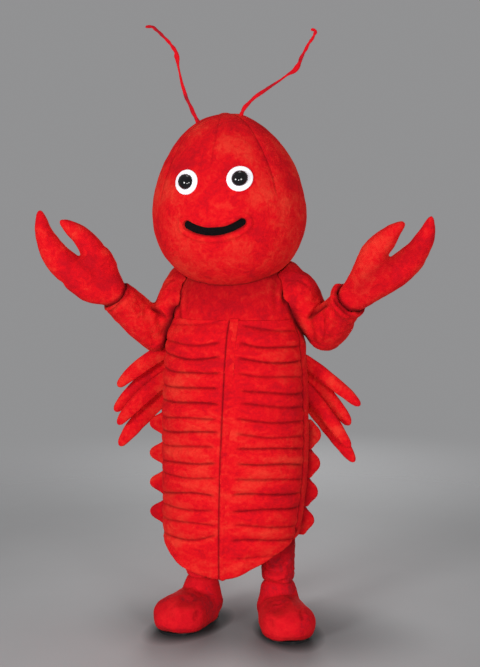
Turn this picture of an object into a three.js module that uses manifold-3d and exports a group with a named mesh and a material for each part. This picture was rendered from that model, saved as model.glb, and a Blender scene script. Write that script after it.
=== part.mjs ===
// A plush crayfish suit, standing as it is worn: a separate padded head with two wired
// feelers, a padded and ribbed belly panel that closes with a covered zip, bent sleeves with
// stuffed claws for gloves, a fan of side legs and a row of scallops behind each edge of the
// belly panel, and two trouser legs that end in padded shoe covers on rubber soles.
//
// Millimetres, +Z up, the front faces -Y. "left" is the wearer's left, on +X. The origin is
// on the floor, under the middle of the suit.

import * as THREE from "three";
import { mergeVertices } from "three/addons/utils/BufferGeometryUtils.js";
import Module from "manifold-3d";

const wasm = await Module();
wasm.setup();

// ---------------------------------------------------------------- driving dimensions

const GAP = 0.5; // between pieces that touch
const BEYOND = 500; // further than any cut has to reach
const SIDES = { left: 1, right: -1 };

// The pieces' places below count from the middle of the body. The claws reach further forward
// than the back does behind, so the suit is moved to stand with its middle over the origin.
const SUIT_PLACE = [-20, 48, 0];

const TORSO = {
  bottom: 323,
  top: 1433,
  widest: 738,
  halfWidth: 266,
  halfDepth: 200,
  taper: 0.11, // how much narrower it is half a metre above and below its widest
  flatten: 0.2, // how much shallower it is there
  sway: 20, // how far the bottom hangs towards the wearer's right
};

const RIBS = { first: 1178, last: 390, count: 14, groove: 6, crest: 24 };
const PANEL = { top: 1198, back: 20 };
// The hem, from the wearer's right to left, sideways and up: it hangs lower on the right.
const HEM = [
  [-268, 330],
  [-206, 260],
  [-130, 224],
  [-30, 211],
  [46, 225],
  [144, 274],
  [221, 330],
  [268, 372],
];
// The zip runs down a little to the wearer's left of the middle, and leans by `lean`.
const PLACKET = { middle: 13, lean: 0.04, halfWidth: 17, top: 1204, bottom: 231, proud: 5, depth: 26 };

const HEAD = {
  place: [-16, -48, 1640],
  roll: -3, // degrees
  halfWidth: 290,
  halfDepth: 262,
  halfHeight: 330,
  pear: 0.14, // how much the crown is narrower than the middle, and the jaw wider
};
const EYES = { apart: 98, up: 68, felt: 45, feltThick: 7, dome: 28, domeProud: 24 };
const MOUTH = { up: -118, arc: 190, halfAngle: 33, halfHeight: 15, recess: 20, mesh: 8 };

const SHOE = { sole: 10, heel: 86, toe: -262, shaftTop: 185, ankle: 62 };
const FEET = {
  left: { place: [168, 2], toesOut: 25 },
  right: { place: [-138, 2], toesOut: 19 },
};

// Each arm: where the shoulder, elbow and wrist are, and where the claw's long finger ends.
const ARMS = {
  left: {
    shoulder: [156, 5, 1376],
    elbow: [336, 30, 1146],
    wrist: [448, -112, 1278],
    tip: [732, -162, 1574],
  },
  right: {
    shoulder: [-150, 5, 1372],
    elbow: [-312, 2, 1134],
    wrist: [-440, -142, 1282],
    tip: [-686, -240, 1602],
  },
};
const SLEEVE = { shoulder: 92, elbow: 76, wrist: 62 };

// The side legs are sewn on in two staggered rows, `rows` back from the middle. Each fan has
// the height of its top leg, and the place sideways and up of each leg's tip.
const SIDE_LEG = { pitch: 54, rows: [46, 92], halfWidth: 28, halfThick: 20, sag: 12 };
const SIDE_LEG_FANS = {
  left: {
    top: 1032,
    tips: [
      [475, 864],
      [432, 779],
      [438, 699],
      [450, 635],
    ],
  },
  right: {
    top: 1078,
    tips: [
      [-497, 908],
      [-526, 801],
      [-498, 754],
      [-508, 658],
    ],
  },
};

const SCALLOP = { count: 4, halfHeight: 60, halfThick: 13, back: 36 };
const SCALLOP_ROWS = {
  left: { top: 746, pitch: 112, reach: 62 },
  right: { top: 768, pitch: 119, reach: 96 },
};

const FEELER = { girths: [6.5, 5.5, 4.5, 4, 8, 5, 4.5, 5, 4.5], start: -32, lean: -4 };
// The run of each feeler from inside the crown, sideways and up, in the head's frame.
const FEELER_RUNS = {
  left: [
    [60, 290],
    [84, 336],
    [128, 374],
    [190, 408],
    [250, 441],
    [291, 465],
    [310, 498],
    [338, 542],
    [364, 576],
    [369, 590],
    [354, 596],
  ],
  right: [
    [-88, 280],
    [-112, 338],
    [-136, 400],
    [-151, 468],
    [-158, 525],
    [-162, 562],
    [-184, 598],
    [-222, 640],
    [-246, 661],
    [-270, 662],
  ],
};

const plush = new THREE.MeshStandardMaterial({ color: 0xd3131a, roughness: 0.95 });
const felt = new THREE.MeshStandardMaterial({ color: 0xe9e4ee, roughness: 0.9 });
const gloss = new THREE.MeshStandardMaterial({ color: 0x050506, roughness: 0.15 });
const gauze = new THREE.MeshStandardMaterial({ color: 0x08080a, roughness: 0.8 });
const rubber = new THREE.MeshStandardMaterial({ color: 0x0c0c0d, roughness: 0.7 });

// ---------------------------------------------------------------- solids

function solidOf(geometry) {
  const bare = new THREE.BufferGeometry();
  bare.setAttribute("position", geometry.getAttribute("position"));
  bare.setIndex(geometry.index);
  const merged = mergeVertices(bare, 1e-3);
  return new wasm.Manifold(
    new wasm.Mesh({
      numProp: 3,
      vertProperties: merged.getAttribute("position").array,
      triVerts: new Uint32Array(merged.index.array),
    }),
  );
}

function geometryOf(solid) {
  const mesh = solid.getMesh();
  const geometry = new THREE.BufferGeometry();
  geometry.setAttribute("position", new THREE.BufferAttribute(mesh.vertProperties, 3));
  geometry.setIndex(new THREE.BufferAttribute(mesh.triVerts, 1));
  geometry.computeVertexNormals();
  return geometry;
}

// The solid with its skin moved out by `by`, or in where that is negative. Each corner moves
// along the mean direction of its faces, and a face counts by its angle there.
function grown(solid, by = GAP) {
  const geometry = geometryOf(solid);
  const position = geometry.getAttribute("position");
  const index = geometry.getIndex();
  const corner = (i) => new THREE.Vector3().fromBufferAttribute(position, i);
  const moves = Array.from({ length: position.count }, () => new THREE.Vector3());
  for (let first = 0; first < index.count; first += 3) {
    const ring = [0, 1, 2].map((step) => index.getX(first + step));
    const points = ring.map(corner);
    const outwards = new THREE.Triangle(...points).getNormal(new THREE.Vector3());
    ring.forEach((vertex, i) => {
      const next = points[(i + 1) % 3].clone().sub(points[i]);
      const last = points[(i + 2) % 3].clone().sub(points[i]);
      moves[vertex].addScaledVector(outwards, next.angleTo(last));
    });
  }
  moves.forEach((move, i) => {
    const moved = corner(i).addScaledVector(move.normalize(), by);
    position.setXYZ(i, ...moved.toArray());
  });
  return solidOf(geometry);
}

// The largest piece of a cut solid, without loose scraps.
function largest(solid) {
  return solid.decompose().reduce((a, b) => (a.volume() > b.volume() ? a : b));
}

// A piece, given in the frame `where`, cut a gap clear of neighbours in the suit's frame.
function clearOf(piece, where, ...neighbours) {
  const back = where.clone().invert();
  const cut = neighbours.reduce(
    (rest, other) => rest.subtract(grown(other).transform(back.elements)),
    piece,
  );
  return largest(cut);
}

const inPlace = new THREE.Matrix4();

// A closed soft form through stations of {centre, side, up, wide, deep, square}. The first
// and last stations close to a point. `square` is 2 for an ellipse, more for a fuller one.
function loft(stations, columns) {
  const rows = stations.length - 1;
  const geometry = new THREE.SphereGeometry(1, columns, rows);
  const position = geometry.getAttribute("position");
  const uv = geometry.getAttribute("uv");
  const fuller = (value, square) => Math.sign(value) * Math.abs(value) ** (2 / square);
  const point = new THREE.Vector3();
  for (let i = 0; i < position.count; i += 1) {
    const row = Math.round((1 - uv.getY(i)) * rows);
    const { centre, side, up, wide, deep, square = 2 } = stations[row];
    const angle = 2 * Math.PI * uv.getX(i);
    const open = row === 0 || row === rows ? 0 : 1;
    point
      .copy(centre)
      .addScaledVector(side, -open * wide * fuller(Math.cos(angle), square))
      .addScaledVector(up, open * deep * fuller(Math.sin(angle), square));
    position.setXYZ(i, point.x, point.y, point.z);
  }
  return solidOf(geometry);
}

// A stuffed limb along a smooth path. `girths` are [half width, half thickness] evenly
// spaced from root to tip, `across` is the direction of its width.
function limb(path, girths, { across, columns = 12, rows = 12, blunt = 5 }) {
  const spine = new THREE.CatmullRomCurve3(path.map((p) => new THREE.Vector3(...p)));
  const girth = new THREE.CatmullRomCurve3(
    girths.map(([wide, deep]) => new THREE.Vector3(wide, deep, 0)),
  );
  const stations = Array.from({ length: rows + 1 }, (_, row) => {
    const t = (1 - Math.cos((Math.PI * row) / rows)) / 2;
    const rounding = (1 - Math.abs(2 * t - 1) ** blunt) ** (1 / 2);
    const tangent = spine.getTangent(t);
    const up = tangent.clone().cross(across).normalize();
    const side = up.clone().cross(tangent).normalize();
    const { x, y } = girth.getPoint(t);
    return { centre: spine.getPoint(t), side, up, wide: x * rounding, deep: y * rounding };
  });
  return loft(stations, columns);
}

// A flat outline in X and Z, as a block through the suit from front to back.
function block(shape, front, back) {
  const geometry = new THREE.ExtrudeGeometry(shape, {
    depth: back - front,
    bevelEnabled: false,
    curveSegments: 9,
  });
  geometry.rotateX(Math.PI / 2);
  geometry.translate(0, back, 0);
  return solidOf(geometry);
}

function addMesh(group, name, solid, material) {
  const mesh = new THREE.Mesh(geometryOf(solid), material);
  mesh.name = name;
  group.add(mesh);
  return mesh;
}

// ---------------------------------------------------------------- torso and belly panel

const AXIS_X = new THREE.Vector3(1, 0, 0);
const AXIS_Y = new THREE.Vector3(0, 1, 0);

// The section of the body at a height, `padding` outside the suit's own skin.
function torsoSection(z, padding = 0) {
  const off = ((z - TORSO.widest) / 500) ** 2;
  const low = Math.max(0, (TORSO.widest - z) / 400);
  return {
    centre: new THREE.Vector3(-TORSO.sway * low * low, 0, z),
    side: AXIS_X,
    up: AXIS_Y,
    wide: TORSO.halfWidth * (1 - TORSO.taper * off) + padding,
    deep: TORSO.halfDepth * (1 - TORSO.flatten * off) + padding,
    square: 2.3,
  };
}

function torso() {
  const middle = (TORSO.top + TORSO.bottom) / 2;
  const half = (TORSO.top - TORSO.bottom) / 2;
  const rows = 18;
  const stations = Array.from({ length: rows + 1 }, (_, row) => {
    const height = Math.cos((Math.PI * row) / rows);
    const section = torsoSection(middle + half * height);
    const rounding = (1 - Math.abs(height) ** 8) ** (1 / 2.4);
    section.wide *= rounding;
    section.deep *= rounding;
    return section;
  });
  return loft(turned(stations), 28);
}

// Stations from top to bottom, with `up` turned so that the skin faces out.
function turned(stations) {
  return stations.map((s) => ({ ...s, up: s.up.clone().negate() }));
}

// The body with its ribs all round, from which the belly panel is cut.
function ribbedBody() {
  const stations = [];
  const add = (z, padding) => stations.push(torsoSection(z, padding));
  add(PANEL.top + 60, 0);
  add(PANEL.top + 40, 2);
  const pitch = (RIBS.first - RIBS.last) / RIBS.count;
  for (let rib = 0; rib < RIBS.count; rib += 1) {
    const z = RIBS.first - rib * pitch;
    add(z, RIBS.groove);
    add(z - 0.28 * pitch, RIBS.crest);
    add(z - 0.72 * pitch, RIBS.crest);
  }
  add(RIBS.last, RIBS.groove);
  // The apron below the last rib is smooth, and thins towards the hem.
  for (const [z, padding] of [[370, 22], [320, 20], [260, 17], [200, 14], [160, 0]]) {
    add(z, padding);
  }
  return loft(turned(stations), 28);
}

// The inside of the panel, which runs on below the body to leave the hem a hanging flap.
function panelLining() {
  const heights = [580, 570, 500, 430, 360, 290, 220, 170, 160];
  return loft(turned(heights.map((z) => torsoSection(z))), 28);
}

function panelOutline() {
  const shape = new THREE.Shape();
  shape.moveTo(BEYOND, PANEL.top);
  shape.lineTo(-BEYOND, PANEL.top);
  shape.lineTo(-BEYOND, HEM[0][1]);
  shape.lineTo(...HEM[0]);
  shape.splineThru(HEM.slice(1).map(([x, z]) => new THREE.Vector2(x, z)));
  shape.lineTo(BEYOND, HEM.at(-1)[1]);
  shape.closePath();
  return shape;
}

// The covered zip, a strip that follows the crests of the ribs down the middle of the front,
// or the room for it in the panel where `room` is the gap round it.
function placket(room = 0) {
  const { halfWidth, top, bottom, proud, depth } = PLACKET;
  const height = top - bottom + 2 * room;
  const geometry = new THREE.BoxGeometry(2 * (halfWidth + room), 1, height, 1, 1, 18);
  geometry.translate(0, 0, (top + bottom) / 2);
  const position = geometry.getAttribute("position");
  for (let i = 0; i < position.count; i += 1) {
    const { deep } = torsoSection(position.getZ(i), RIBS.crest);
    const front = position.getY(i) < 0;
    const middle = PLACKET.middle + PLACKET.lean * (position.getZ(i) - TORSO.widest);
    position.setX(i, position.getX(i) + middle);
    position.setY(i, -deep + (front ? -proud - room : depth - proud + room));
  }
  return solidOf(geometry);
}

// ---------------------------------------------------------------- head

// The head's skin at a point of the unit ball.
function headSkin(x, y, z) {
  const jaw = 1 - HEAD.pear * z;
  return new THREE.Vector3(
    HEAD.halfWidth * jaw * x,
    HEAD.halfDepth * jaw * y,
    HEAD.halfHeight * z,
  );
}

function headForm() {
  const geometry = new THREE.SphereGeometry(1, 28, 20);
  geometry.rotateX(Math.PI / 2);
  const position = geometry.getAttribute("position");
  for (let i = 0; i < position.count; i += 1) {
    const skin = headSkin(position.getX(i), position.getY(i), position.getZ(i));
    position.setXYZ(i, skin.x, skin.y, skin.z);
  }
  return solidOf(geometry);
}

// The front of the head at a sideways place and height in its own frame.
function faceAt(x, z) {
  const up = z / HEAD.halfHeight;
  const across = x / (HEAD.halfWidth * (1 - HEAD.pear * up));
  return headSkin(across, -Math.sqrt(1 - up * up - across * across), up);
}

// A frame on the face whose Z points out of it.
function frameOnFace(x, z) {
  const step = 2;
  const sideways = faceAt(x + step, z).sub(faceAt(x - step, z)).normalize();
  const upwards = faceAt(x, z + step).sub(faceAt(x, z - step)).normalize();
  const out = sideways.clone().cross(upwards).normalize();
  return new THREE.Matrix4()
    .makeBasis(sideways, out.clone().cross(sideways), out)
    .setPosition(faceAt(x, z));
}

function lens(radius, thickness) {
  return solidOf(
    new THREE.SphereGeometry(1, 16, 6).scale(radius, thickness, radius).rotateX(Math.PI / 2),
  );
}

// The round of felt under each eye, as a rod through the skin of the head.
function feltRound() {
  const rod = new THREE.CylinderGeometry(EYES.felt, EYES.felt, 2 * EYES.felt, 20);
  return solidOf(rod.rotateX(Math.PI / 2));
}

// A mouth slot: a plain band of one height, bent to a shallow arc, with round ends.
function mouthShape(inset) {
  const { arc, halfAngle, halfHeight, up } = MOUTH;
  const turn = THREE.MathUtils.degToRad(halfAngle);
  const half = halfHeight - inset;
  const centre = up + arc;
  const down = -Math.PI / 2;
  const end = (side) => [
    arc * Math.cos(down + side * turn),
    centre + arc * Math.sin(down + side * turn),
  ];
  const shape = new THREE.Shape();
  shape.absarc(0, centre, arc + half, down - turn, down + turn, false);
  shape.absarc(...end(1), half, down + turn, down + turn + Math.PI, false);
  shape.absarc(0, centre, arc - half, down + turn, down - turn, true);
  shape.absarc(...end(-1), half, down - turn + Math.PI, down - turn + 2 * Math.PI, false);
  return shape;
}

function feeler(side) {
  const path = FEELER_RUNS[side].map(([x, z], i) => [x, FEELER.start + FEELER.lean * i, z]);
  const girths = FEELER.girths.map((radius) => [radius, radius]);
  return limb(path, girths, { across: AXIS_Y, columns: 6, rows: 20, blunt: 60 });
}

// ---------------------------------------------------------------- limbs

const vector = (p) => new THREE.Vector3(...p);
const mix = (a, b, t) => vector(a).lerp(vector(b), t).toArray();

function sleeve({ shoulder, elbow, wrist }) {
  const { shoulder: top, elbow: bend, wrist: cuff } = SLEEVE;
  const upperArm = limb(
    [shoulder, mix(shoulder, elbow, 0.5), mix(shoulder, elbow, 1.22)],
    [
      [top * 0.92, top * 0.95],
      [top, top],
      [bend * 1.02, bend * 1.02],
      [bend * 0.9, bend * 0.9],
    ],
    { across: AXIS_Y, columns: 12, rows: 8, blunt: 4 },
  );
  const forearm = limb(
    [mix(wrist, elbow, 1.24), mix(wrist, elbow, 0.5), mix(wrist, elbow, -0.04)],
    [
      [bend * 0.94, bend * 0.94],
      [bend * 1.04, bend * 1.04],
      [bend * 0.94, bend * 0.94],
      [cuff, cuff],
    ],
    { across: AXIS_Y, columns: 12, rows: 8, blunt: 10 },
  );
  return upperArm.add(forearm);
}

// The claw lies in X and Y: its wrist at the origin, fingers along +Y, short finger on +X.
function claw() {
  const across = AXIS_X;
  const palmAndLongFinger = limb(
    [
      [2, -38, 0],
      [-8, 60, 0],
      [-17, 140, 0],
      [-43, 206, 0],
      [-62, 264, 0],
      [-52, 334, 0],
      [-6, 428, 0],
    ],
    [
      [46, 42],
      [80, 52],
      [102, 58],
      [79, 52],
      [50, 42],
      [41, 33],
      [21, 19],
    ],
    { across, columns: 12, rows: 14, blunt: 9 },
  );
  const shortFinger = limb(
    [
      [18, 70, 0],
      [44, 160, 0],
      [54, 235, 0],
      [52, 296, 0],
      [34, 358, 0],
    ],
    [
      [50, 42],
      [54, 50],
      [45, 40],
      [32, 30],
      [16, 15],
    ],
    { across, columns: 10, rows: 10, blunt: 7 },
  );
  return palmAndLongFinger.add(shortFinger);
}

// The claw's frame: its wrist end, its long axis towards the tip and its flat side forward.
function clawFrame({ wrist, tip }, side) {
  const along = vector(tip).sub(vector(wrist)).normalize();
  const front = new THREE.Vector3(0.2, -1, 0);
  // The same claw serves both arms: turned over, its short finger is still the inner one.
  const towards = along.clone().cross(front).multiplyScalar(-side).normalize();
  return new THREE.Matrix4()
    .makeBasis(towards, along, towards.clone().cross(along))
    .setPosition(vector(wrist));
}

// A side leg hangs along -Z from its root, bowed a little, its width along X.
function sideLeg(length) {
  const { halfWidth, halfThick, sag } = SIDE_LEG;
  return limb(
    [
      [0, 0, 30],
      [sag, 0, -0.4 * length],
      [sag * 0.8, 0, -0.72 * length],
      [0, 0, -length],
    ],
    [
      [halfWidth * 0.62, halfThick * 0.7],
      [halfWidth, halfThick],
      [halfWidth, halfThick],
      [halfWidth * 0.62, halfThick * 0.6],
    ],
    { across: AXIS_X, columns: 8, rows: 8, blunt: 9 },
  );
}

// A scallop stands out along +X, its width up and down along Z.
function scallop(reach) {
  const { halfHeight, halfThick } = SCALLOP;
  return limb(
    [
      [-60, 0, 0],
      [0, 0, 0],
      [reach, 0, 0],
    ],
    [
      [halfHeight, halfThick],
      [halfHeight * 0.98, halfThick],
      [halfHeight * 0.62, halfThick],
      [halfHeight * 0.26, halfThick * 0.7],
    ],
    { across: new THREE.Vector3(0, 0, 1), columns: 10, rows: 7, blunt: 12 },
  );
}

// ---------------------------------------------------------------- legs and shoes

function trouserLeg([x, y]) {
  const { ankle, shaftTop } = SHOE;
  return limb(
    [
      [x * 0.94, y, 450],
      [x, y, 290],
      [x, y, shaftTop - 70],
    ],
    [
      [ankle + 8, ankle + 10],
      [ankle + 3, ankle + 5],
      [ankle - 4, ankle - 4],
    ],
    { across: AXIS_X, columns: 12, rows: 6, blunt: 20 },
  );
}

// A shoe cover: a padded foot along Y, toes on -Y, and the shaft that takes the leg.
function shoe() {
  const { heel, toe, sole, shaftTop, ankle } = SHOE;
  const foot = limb(
    [
      [0, heel, 52],
      [0, 0, 66],
      [0, toe * 0.55, 60],
      [0, toe, 50],
    ],
    [
      [58, 58],
      [72, 76],
      [92, 70],
      [102, 66],
      [84, 60],
    ],
    { across: AXIS_X, columns: 16, rows: 10, blunt: 4 },
  );
  const shaft = limb(
    [
      [0, -6, 20],
      [0, 0, 120],
      [0, 0, shaftTop],
    ],
    [
      [ankle + 4, ankle + 26],
      [ankle + 4, ankle + 12],
      [ankle + 2, ankle + 2],
    ],
    { across: AXIS_X, columns: 12, rows: 6, blunt: 14 },
  );
  const ground = new THREE.BoxGeometry(BEYOND, 2 * BEYOND, BEYOND);
  ground.translate(0, 0, sole + GAP - BEYOND / 2);
  return foot.add(shaft).subtract(solidOf(ground));
}

// The sole's outline: a broad round toe and a narrower heel.
function sole() {
  const { heel, toe, sole: thick } = SHOE;
  const toeRadius = 74;
  const heelRadius = 46;
  const shape = new THREE.Shape();
  shape.absarc(0, toe + toeRadius + 22, toeRadius, Math.PI, 2 * Math.PI, false);
  shape.quadraticCurveTo(toeRadius + 2, toe * 0.3, heelRadius, heel - heelRadius - 6);
  shape.absarc(0, heel - heelRadius - 6, heelRadius, 0, Math.PI, false);
  shape.quadraticCurveTo(-toeRadius - 2, toe * 0.3, -toeRadius, toe + toeRadius + 22);
  return solidOf(
    new THREE.ExtrudeGeometry(shape, { depth: thick, bevelEnabled: false, curveSegments: 9 }),
  );
}

// ---------------------------------------------------------------- the suit

const suit = new THREE.Group();
const bodySolid = torso();
const panelSolid = largest(
  ribbedBody()
    .intersect(block(panelOutline(), -BEYOND, PANEL.back))
    .subtract(grown(panelLining()))
    .subtract(grown(bodySolid)),
);
const placketSolid = placket();
const beltSolid = largest(panelSolid.subtract(placket(GAP)));

// Head, with what is sewn to it in its own turned frame.
const headGroup = new THREE.Group();
headGroup.position.set(...HEAD.place);
headGroup.rotation.y = THREE.MathUtils.degToRad(HEAD.roll);
headGroup.updateMatrixWorld(true);
suit.add(headGroup);

const headWhole = headForm();
const headInPlace = headWhole.transform(headGroup.matrixWorld.elements);
const mouthFloor = grown(headWhole, -MOUTH.recess);
const mouthSlot = block(mouthShape(0), -BEYOND, 0).subtract(mouthFloor);
const headSolid = clearOf(headWhole.subtract(mouthSlot), headGroup.matrixWorld, bodySolid);
addMesh(headGroup, "head", headSolid, plush);

const meshSolid = block(mouthShape(GAP), -BEYOND, 0)
  .intersect(grown(headWhole, -MOUTH.recess + MOUTH.mesh))
  .subtract(grown(headWhole, -MOUTH.recess + GAP));
addMesh(headGroup, "mouth_mesh", largest(meshSolid), gauze);

for (const [side, sign] of Object.entries(SIDES)) {
  const eye = new THREE.Group();
  eye.applyMatrix4(frameOnFace(sign * EYES.apart, EYES.up));
  headGroup.add(eye);
  const toEye = eye.matrix.clone().invert().elements;
  const feltDisc = feltRound()
    .intersect(grown(headWhole, EYES.feltThick).transform(toEye))
    .subtract(grown(headWhole).transform(toEye));
  const dome = lens(EYES.dome, EYES.domeProud).subtract(
    grown(headWhole, EYES.feltThick + GAP).transform(toEye),
  );
  addMesh(eye, `eye_felt_${side}`, largest(feltDisc), felt);
  addMesh(eye, `eye_dome_${side}`, largest(dome), gloss);
  addMesh(headGroup, `feeler_${side}`, clearOf(feeler(side), inPlace, headWhole), plush);
}

addMesh(suit, "torso", bodySolid, plush);
addMesh(suit, "belly_panel", beltSolid, plush);
addMesh(suit, "zip_placket", placketSolid, plush);

for (const [side, sign] of Object.entries(SIDES)) {
  // Arm and claw. The claw keeps its whole form, and the cuff is cut to take its wrist.
  const hand = new THREE.Group();
  hand.applyMatrix4(clawFrame(ARMS[side], sign));
  hand.updateMatrixWorld(true);
  const clawSolid = claw();
  const worldClaw = clawSolid.transform(hand.matrix.elements);
  const neighbours = [bodySolid, panelSolid, headInPlace, worldClaw];
  const armSolid = clearOf(sleeve(ARMS[side]), inPlace, ...neighbours);
  addMesh(hand, `claw_${side}`, clawSolid, plush);
  suit.add(hand);
  addMesh(suit, `sleeve_${side}`, armSolid, plush);

  // Leg, shoe cover and sole.
  const { place, toesOut } = FEET[side];
  const foot = new THREE.Group();
  foot.position.set(place[0], place[1], 0);
  foot.rotation.z = THREE.MathUtils.degToRad(sign * toesOut);
  foot.updateMatrixWorld(true);
  const shoeSolid = shoe();
  const worldShoe = shoeSolid.transform(foot.matrixWorld.elements);
  addMesh(foot, `shoe_${side}`, shoeSolid, plush);
  addMesh(foot, `sole_${side}`, sole(), rubber);
  suit.add(foot);
  const trouserSolid = clearOf(trouserLeg(place), inPlace, bodySolid, panelSolid, worldShoe);
  addMesh(suit, `leg_${side}`, trouserSolid, plush);

  // Side legs, in two staggered rows so that they lap over each other.
  const fan = SIDE_LEG_FANS[side];
  const sewn = [trouserSolid];
  fan.tips.forEach(([tipX, tipZ], i) => {
    const leg = new THREE.Group();
    const rootZ = fan.top - i * SIDE_LEG.pitch;
    const { wide, centre } = torsoSection(rootZ);
    const rootX = centre.x + sign * wide;
    leg.position.set(rootX, SIDE_LEG.rows[i % 2], rootZ);
    leg.rotation.y = Math.atan2(rootX - tipX, rootZ - tipZ);
    leg.updateMatrixWorld(true);
    const length = Math.hypot(rootX - tipX, rootZ - tipZ);
    const legSolid = clearOf(sideLeg(length), leg.matrixWorld, bodySolid, panelSolid);
    addMesh(leg, `side_leg_${side}_${i + 1}`, legSolid, plush);
    sewn.push(legSolid.transform(leg.matrixWorld.elements));
    suit.add(leg);
  });

  // Scallops down the edge of the panel.
  const row = SCALLOP_ROWS[side];
  for (let i = 0; i < SCALLOP.count; i += 1) {
    const fin = new THREE.Group();
    const z = row.top - i * row.pitch;
    const { wide, centre } = torsoSection(z);
    fin.position.set(centre.x + sign * wide, SCALLOP.back, z);
    fin.scale.x = sign;
    fin.updateMatrixWorld(true);
    const finSolid = clearOf(scallop(row.reach), fin.matrixWorld, bodySolid, panelSolid, ...sewn);
    addMesh(fin, `scallop_${side}_${i + 1}`, finSolid, plush);
    suit.add(fin);
    sewn.push(finSolid.transform(fin.matrixWorld.elements));
  }
}

suit.position.set(...SUIT_PLACE);

export default suit;
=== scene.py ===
"""The looks of a plush crayfish suit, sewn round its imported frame.

Sizes and places are in millimetres and count from the middle of the body, as on the
pattern. `placed` turns them into the frame's metres. +Z is up, the front faces -Y, and
"left" is the wearer's left, on +X.
"""

import math
from contextlib import contextmanager

import bmesh
import bpy
import numpy as np
from mathutils import Matrix, Vector, noise
from mathutils.kdtree import KDTree


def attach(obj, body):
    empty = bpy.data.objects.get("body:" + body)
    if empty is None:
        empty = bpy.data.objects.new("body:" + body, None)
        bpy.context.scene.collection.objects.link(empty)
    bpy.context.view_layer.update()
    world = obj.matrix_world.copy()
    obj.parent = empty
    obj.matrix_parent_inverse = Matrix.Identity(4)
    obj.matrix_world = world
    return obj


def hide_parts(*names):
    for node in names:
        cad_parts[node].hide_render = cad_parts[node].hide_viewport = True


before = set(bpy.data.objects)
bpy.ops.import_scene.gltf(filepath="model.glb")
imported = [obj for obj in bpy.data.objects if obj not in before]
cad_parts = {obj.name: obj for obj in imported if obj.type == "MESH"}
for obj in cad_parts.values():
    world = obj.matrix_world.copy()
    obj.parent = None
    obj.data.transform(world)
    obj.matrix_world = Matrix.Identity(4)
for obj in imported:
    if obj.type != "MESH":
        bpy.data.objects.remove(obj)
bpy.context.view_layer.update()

# ---------------------------------------------------------------- sizes

MM = 0.001
SUIT_PLACE = np.array([-20.0, 48.0, 0.0])
SIDES = {"left": 1, "right": -1}

TORSO = {"bottom": 323, "top": 1433, "widest": 738, "half_width": 266, "half_depth": 200}
TORSO_SQUARE = 2.3
# The ribbed panel: where its top is, how far behind the side it ends, the height above which
# its rows run level, its length down the front, its width round the body, and how its edges
# are rounded.
PANEL = {"top": 1198, "back": 20, "level": 600, "long": 900, "round": 810, "edges": (13, 11)}
HEM = [
    (-268, 330), (-206, 260), (-130, 224), (-30, 211), (46, 225), (144, 274), (221, 330),
    (268, 372),
]
# The height of each rib's groove by the zip, halfway round and at the side seam.
GROOVES = {
    "right": [
        (1196, 1180, 1173), (1113, 1104, 1108), (1060, 1052, 1057), (1005, 999, 1002),
        (949, 942, 941), (888, 888, 884), (834, 830, 822), (785, 777, 768), (731, 722, 715),
        (668, 659, 649), (608, 604, 600), (545, 544, 530), (485, 481, 477), (428, 428, 425),
        (385, 362, 358),
    ],
    "left": [
        (1184, 1167, 1153), (1125, 1100, 1098), (1064, 1046, 1040), (1008, 992, 982),
        (950, 931, 922), (898, 883, 869), (840, 824, 813), (781, 768, 756), (727, 724, 711),
        (665, 665, 648), (610, 608, 590), (552, 551, 538), (487, 491, 485), (432, 427, 408),
        (368, 373, 358), (299, 304, 300),
    ],
}
GROOVE_TURNS = {"right": (98, 123, 150), "left": (82, 48, 14)}
# The ribs end at a sewn line on each side, and a plain band runs on to the panel's edge.
SIDE_SEAMS = {"left": 11, "right": 172}
RIB = {"crest": 24, "depth": 13.5}

PLACKET = {"middle": 13, "lean": 0.04, "half_width": 17, "top": 1204, "bottom": 231}

HEAD = {"place": (-16, -48, 1640), "roll": -3, "half": (290, 262, 330), "pear": 0.14}
EYES = {"apart": 98, "up": 68, "felt": 45, "felt_thick": 7, "dome": 28, "dome_proud": 24}
MOUTH = {"up": -118, "arc": 190, "half_angle": 33, "half_height": 15, "recess": 20}

FEET = {"left": ((168, 2), 25), "right": ((-138, 2), 19)}
# The height of the seam over the sole.
WELT = 26
SHOE = {"sole": 10, "heel": 86, "toe": -262, "shaft_top": 185, "ankle": 62}

ARMS = {
    "left": {
        "shoulder": (156, 5, 1376),
        "elbow": (336, 30, 1146),
        "wrist": (448, -112, 1278),
        "tip": (732, -162, 1574),
    },
    "right": {
        "shoulder": (-150, 5, 1372),
        "elbow": (-312, 2, 1134),
        "wrist": (-440, -142, 1282),
        "tip": (-686, -240, 1602),
    },
}
SLEEVE = {"shoulder": 92, "elbow": 76, "cuff": 62}
# The caps that join the sleeves to the yoke, and their half widths and half depths.
SHOULDER_CAPS = {
    "left": ([(98, 5, 1398), (163, 5, 1348), (234, 8, 1258)], [(34, 60), (66, 84), (84, 88)]),
    "right": ([(-92, 5, 1388), (-168, 5, 1344), (-236, 8, 1258)], [(36, 60), (71, 84), (87, 88)]),
}
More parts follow.
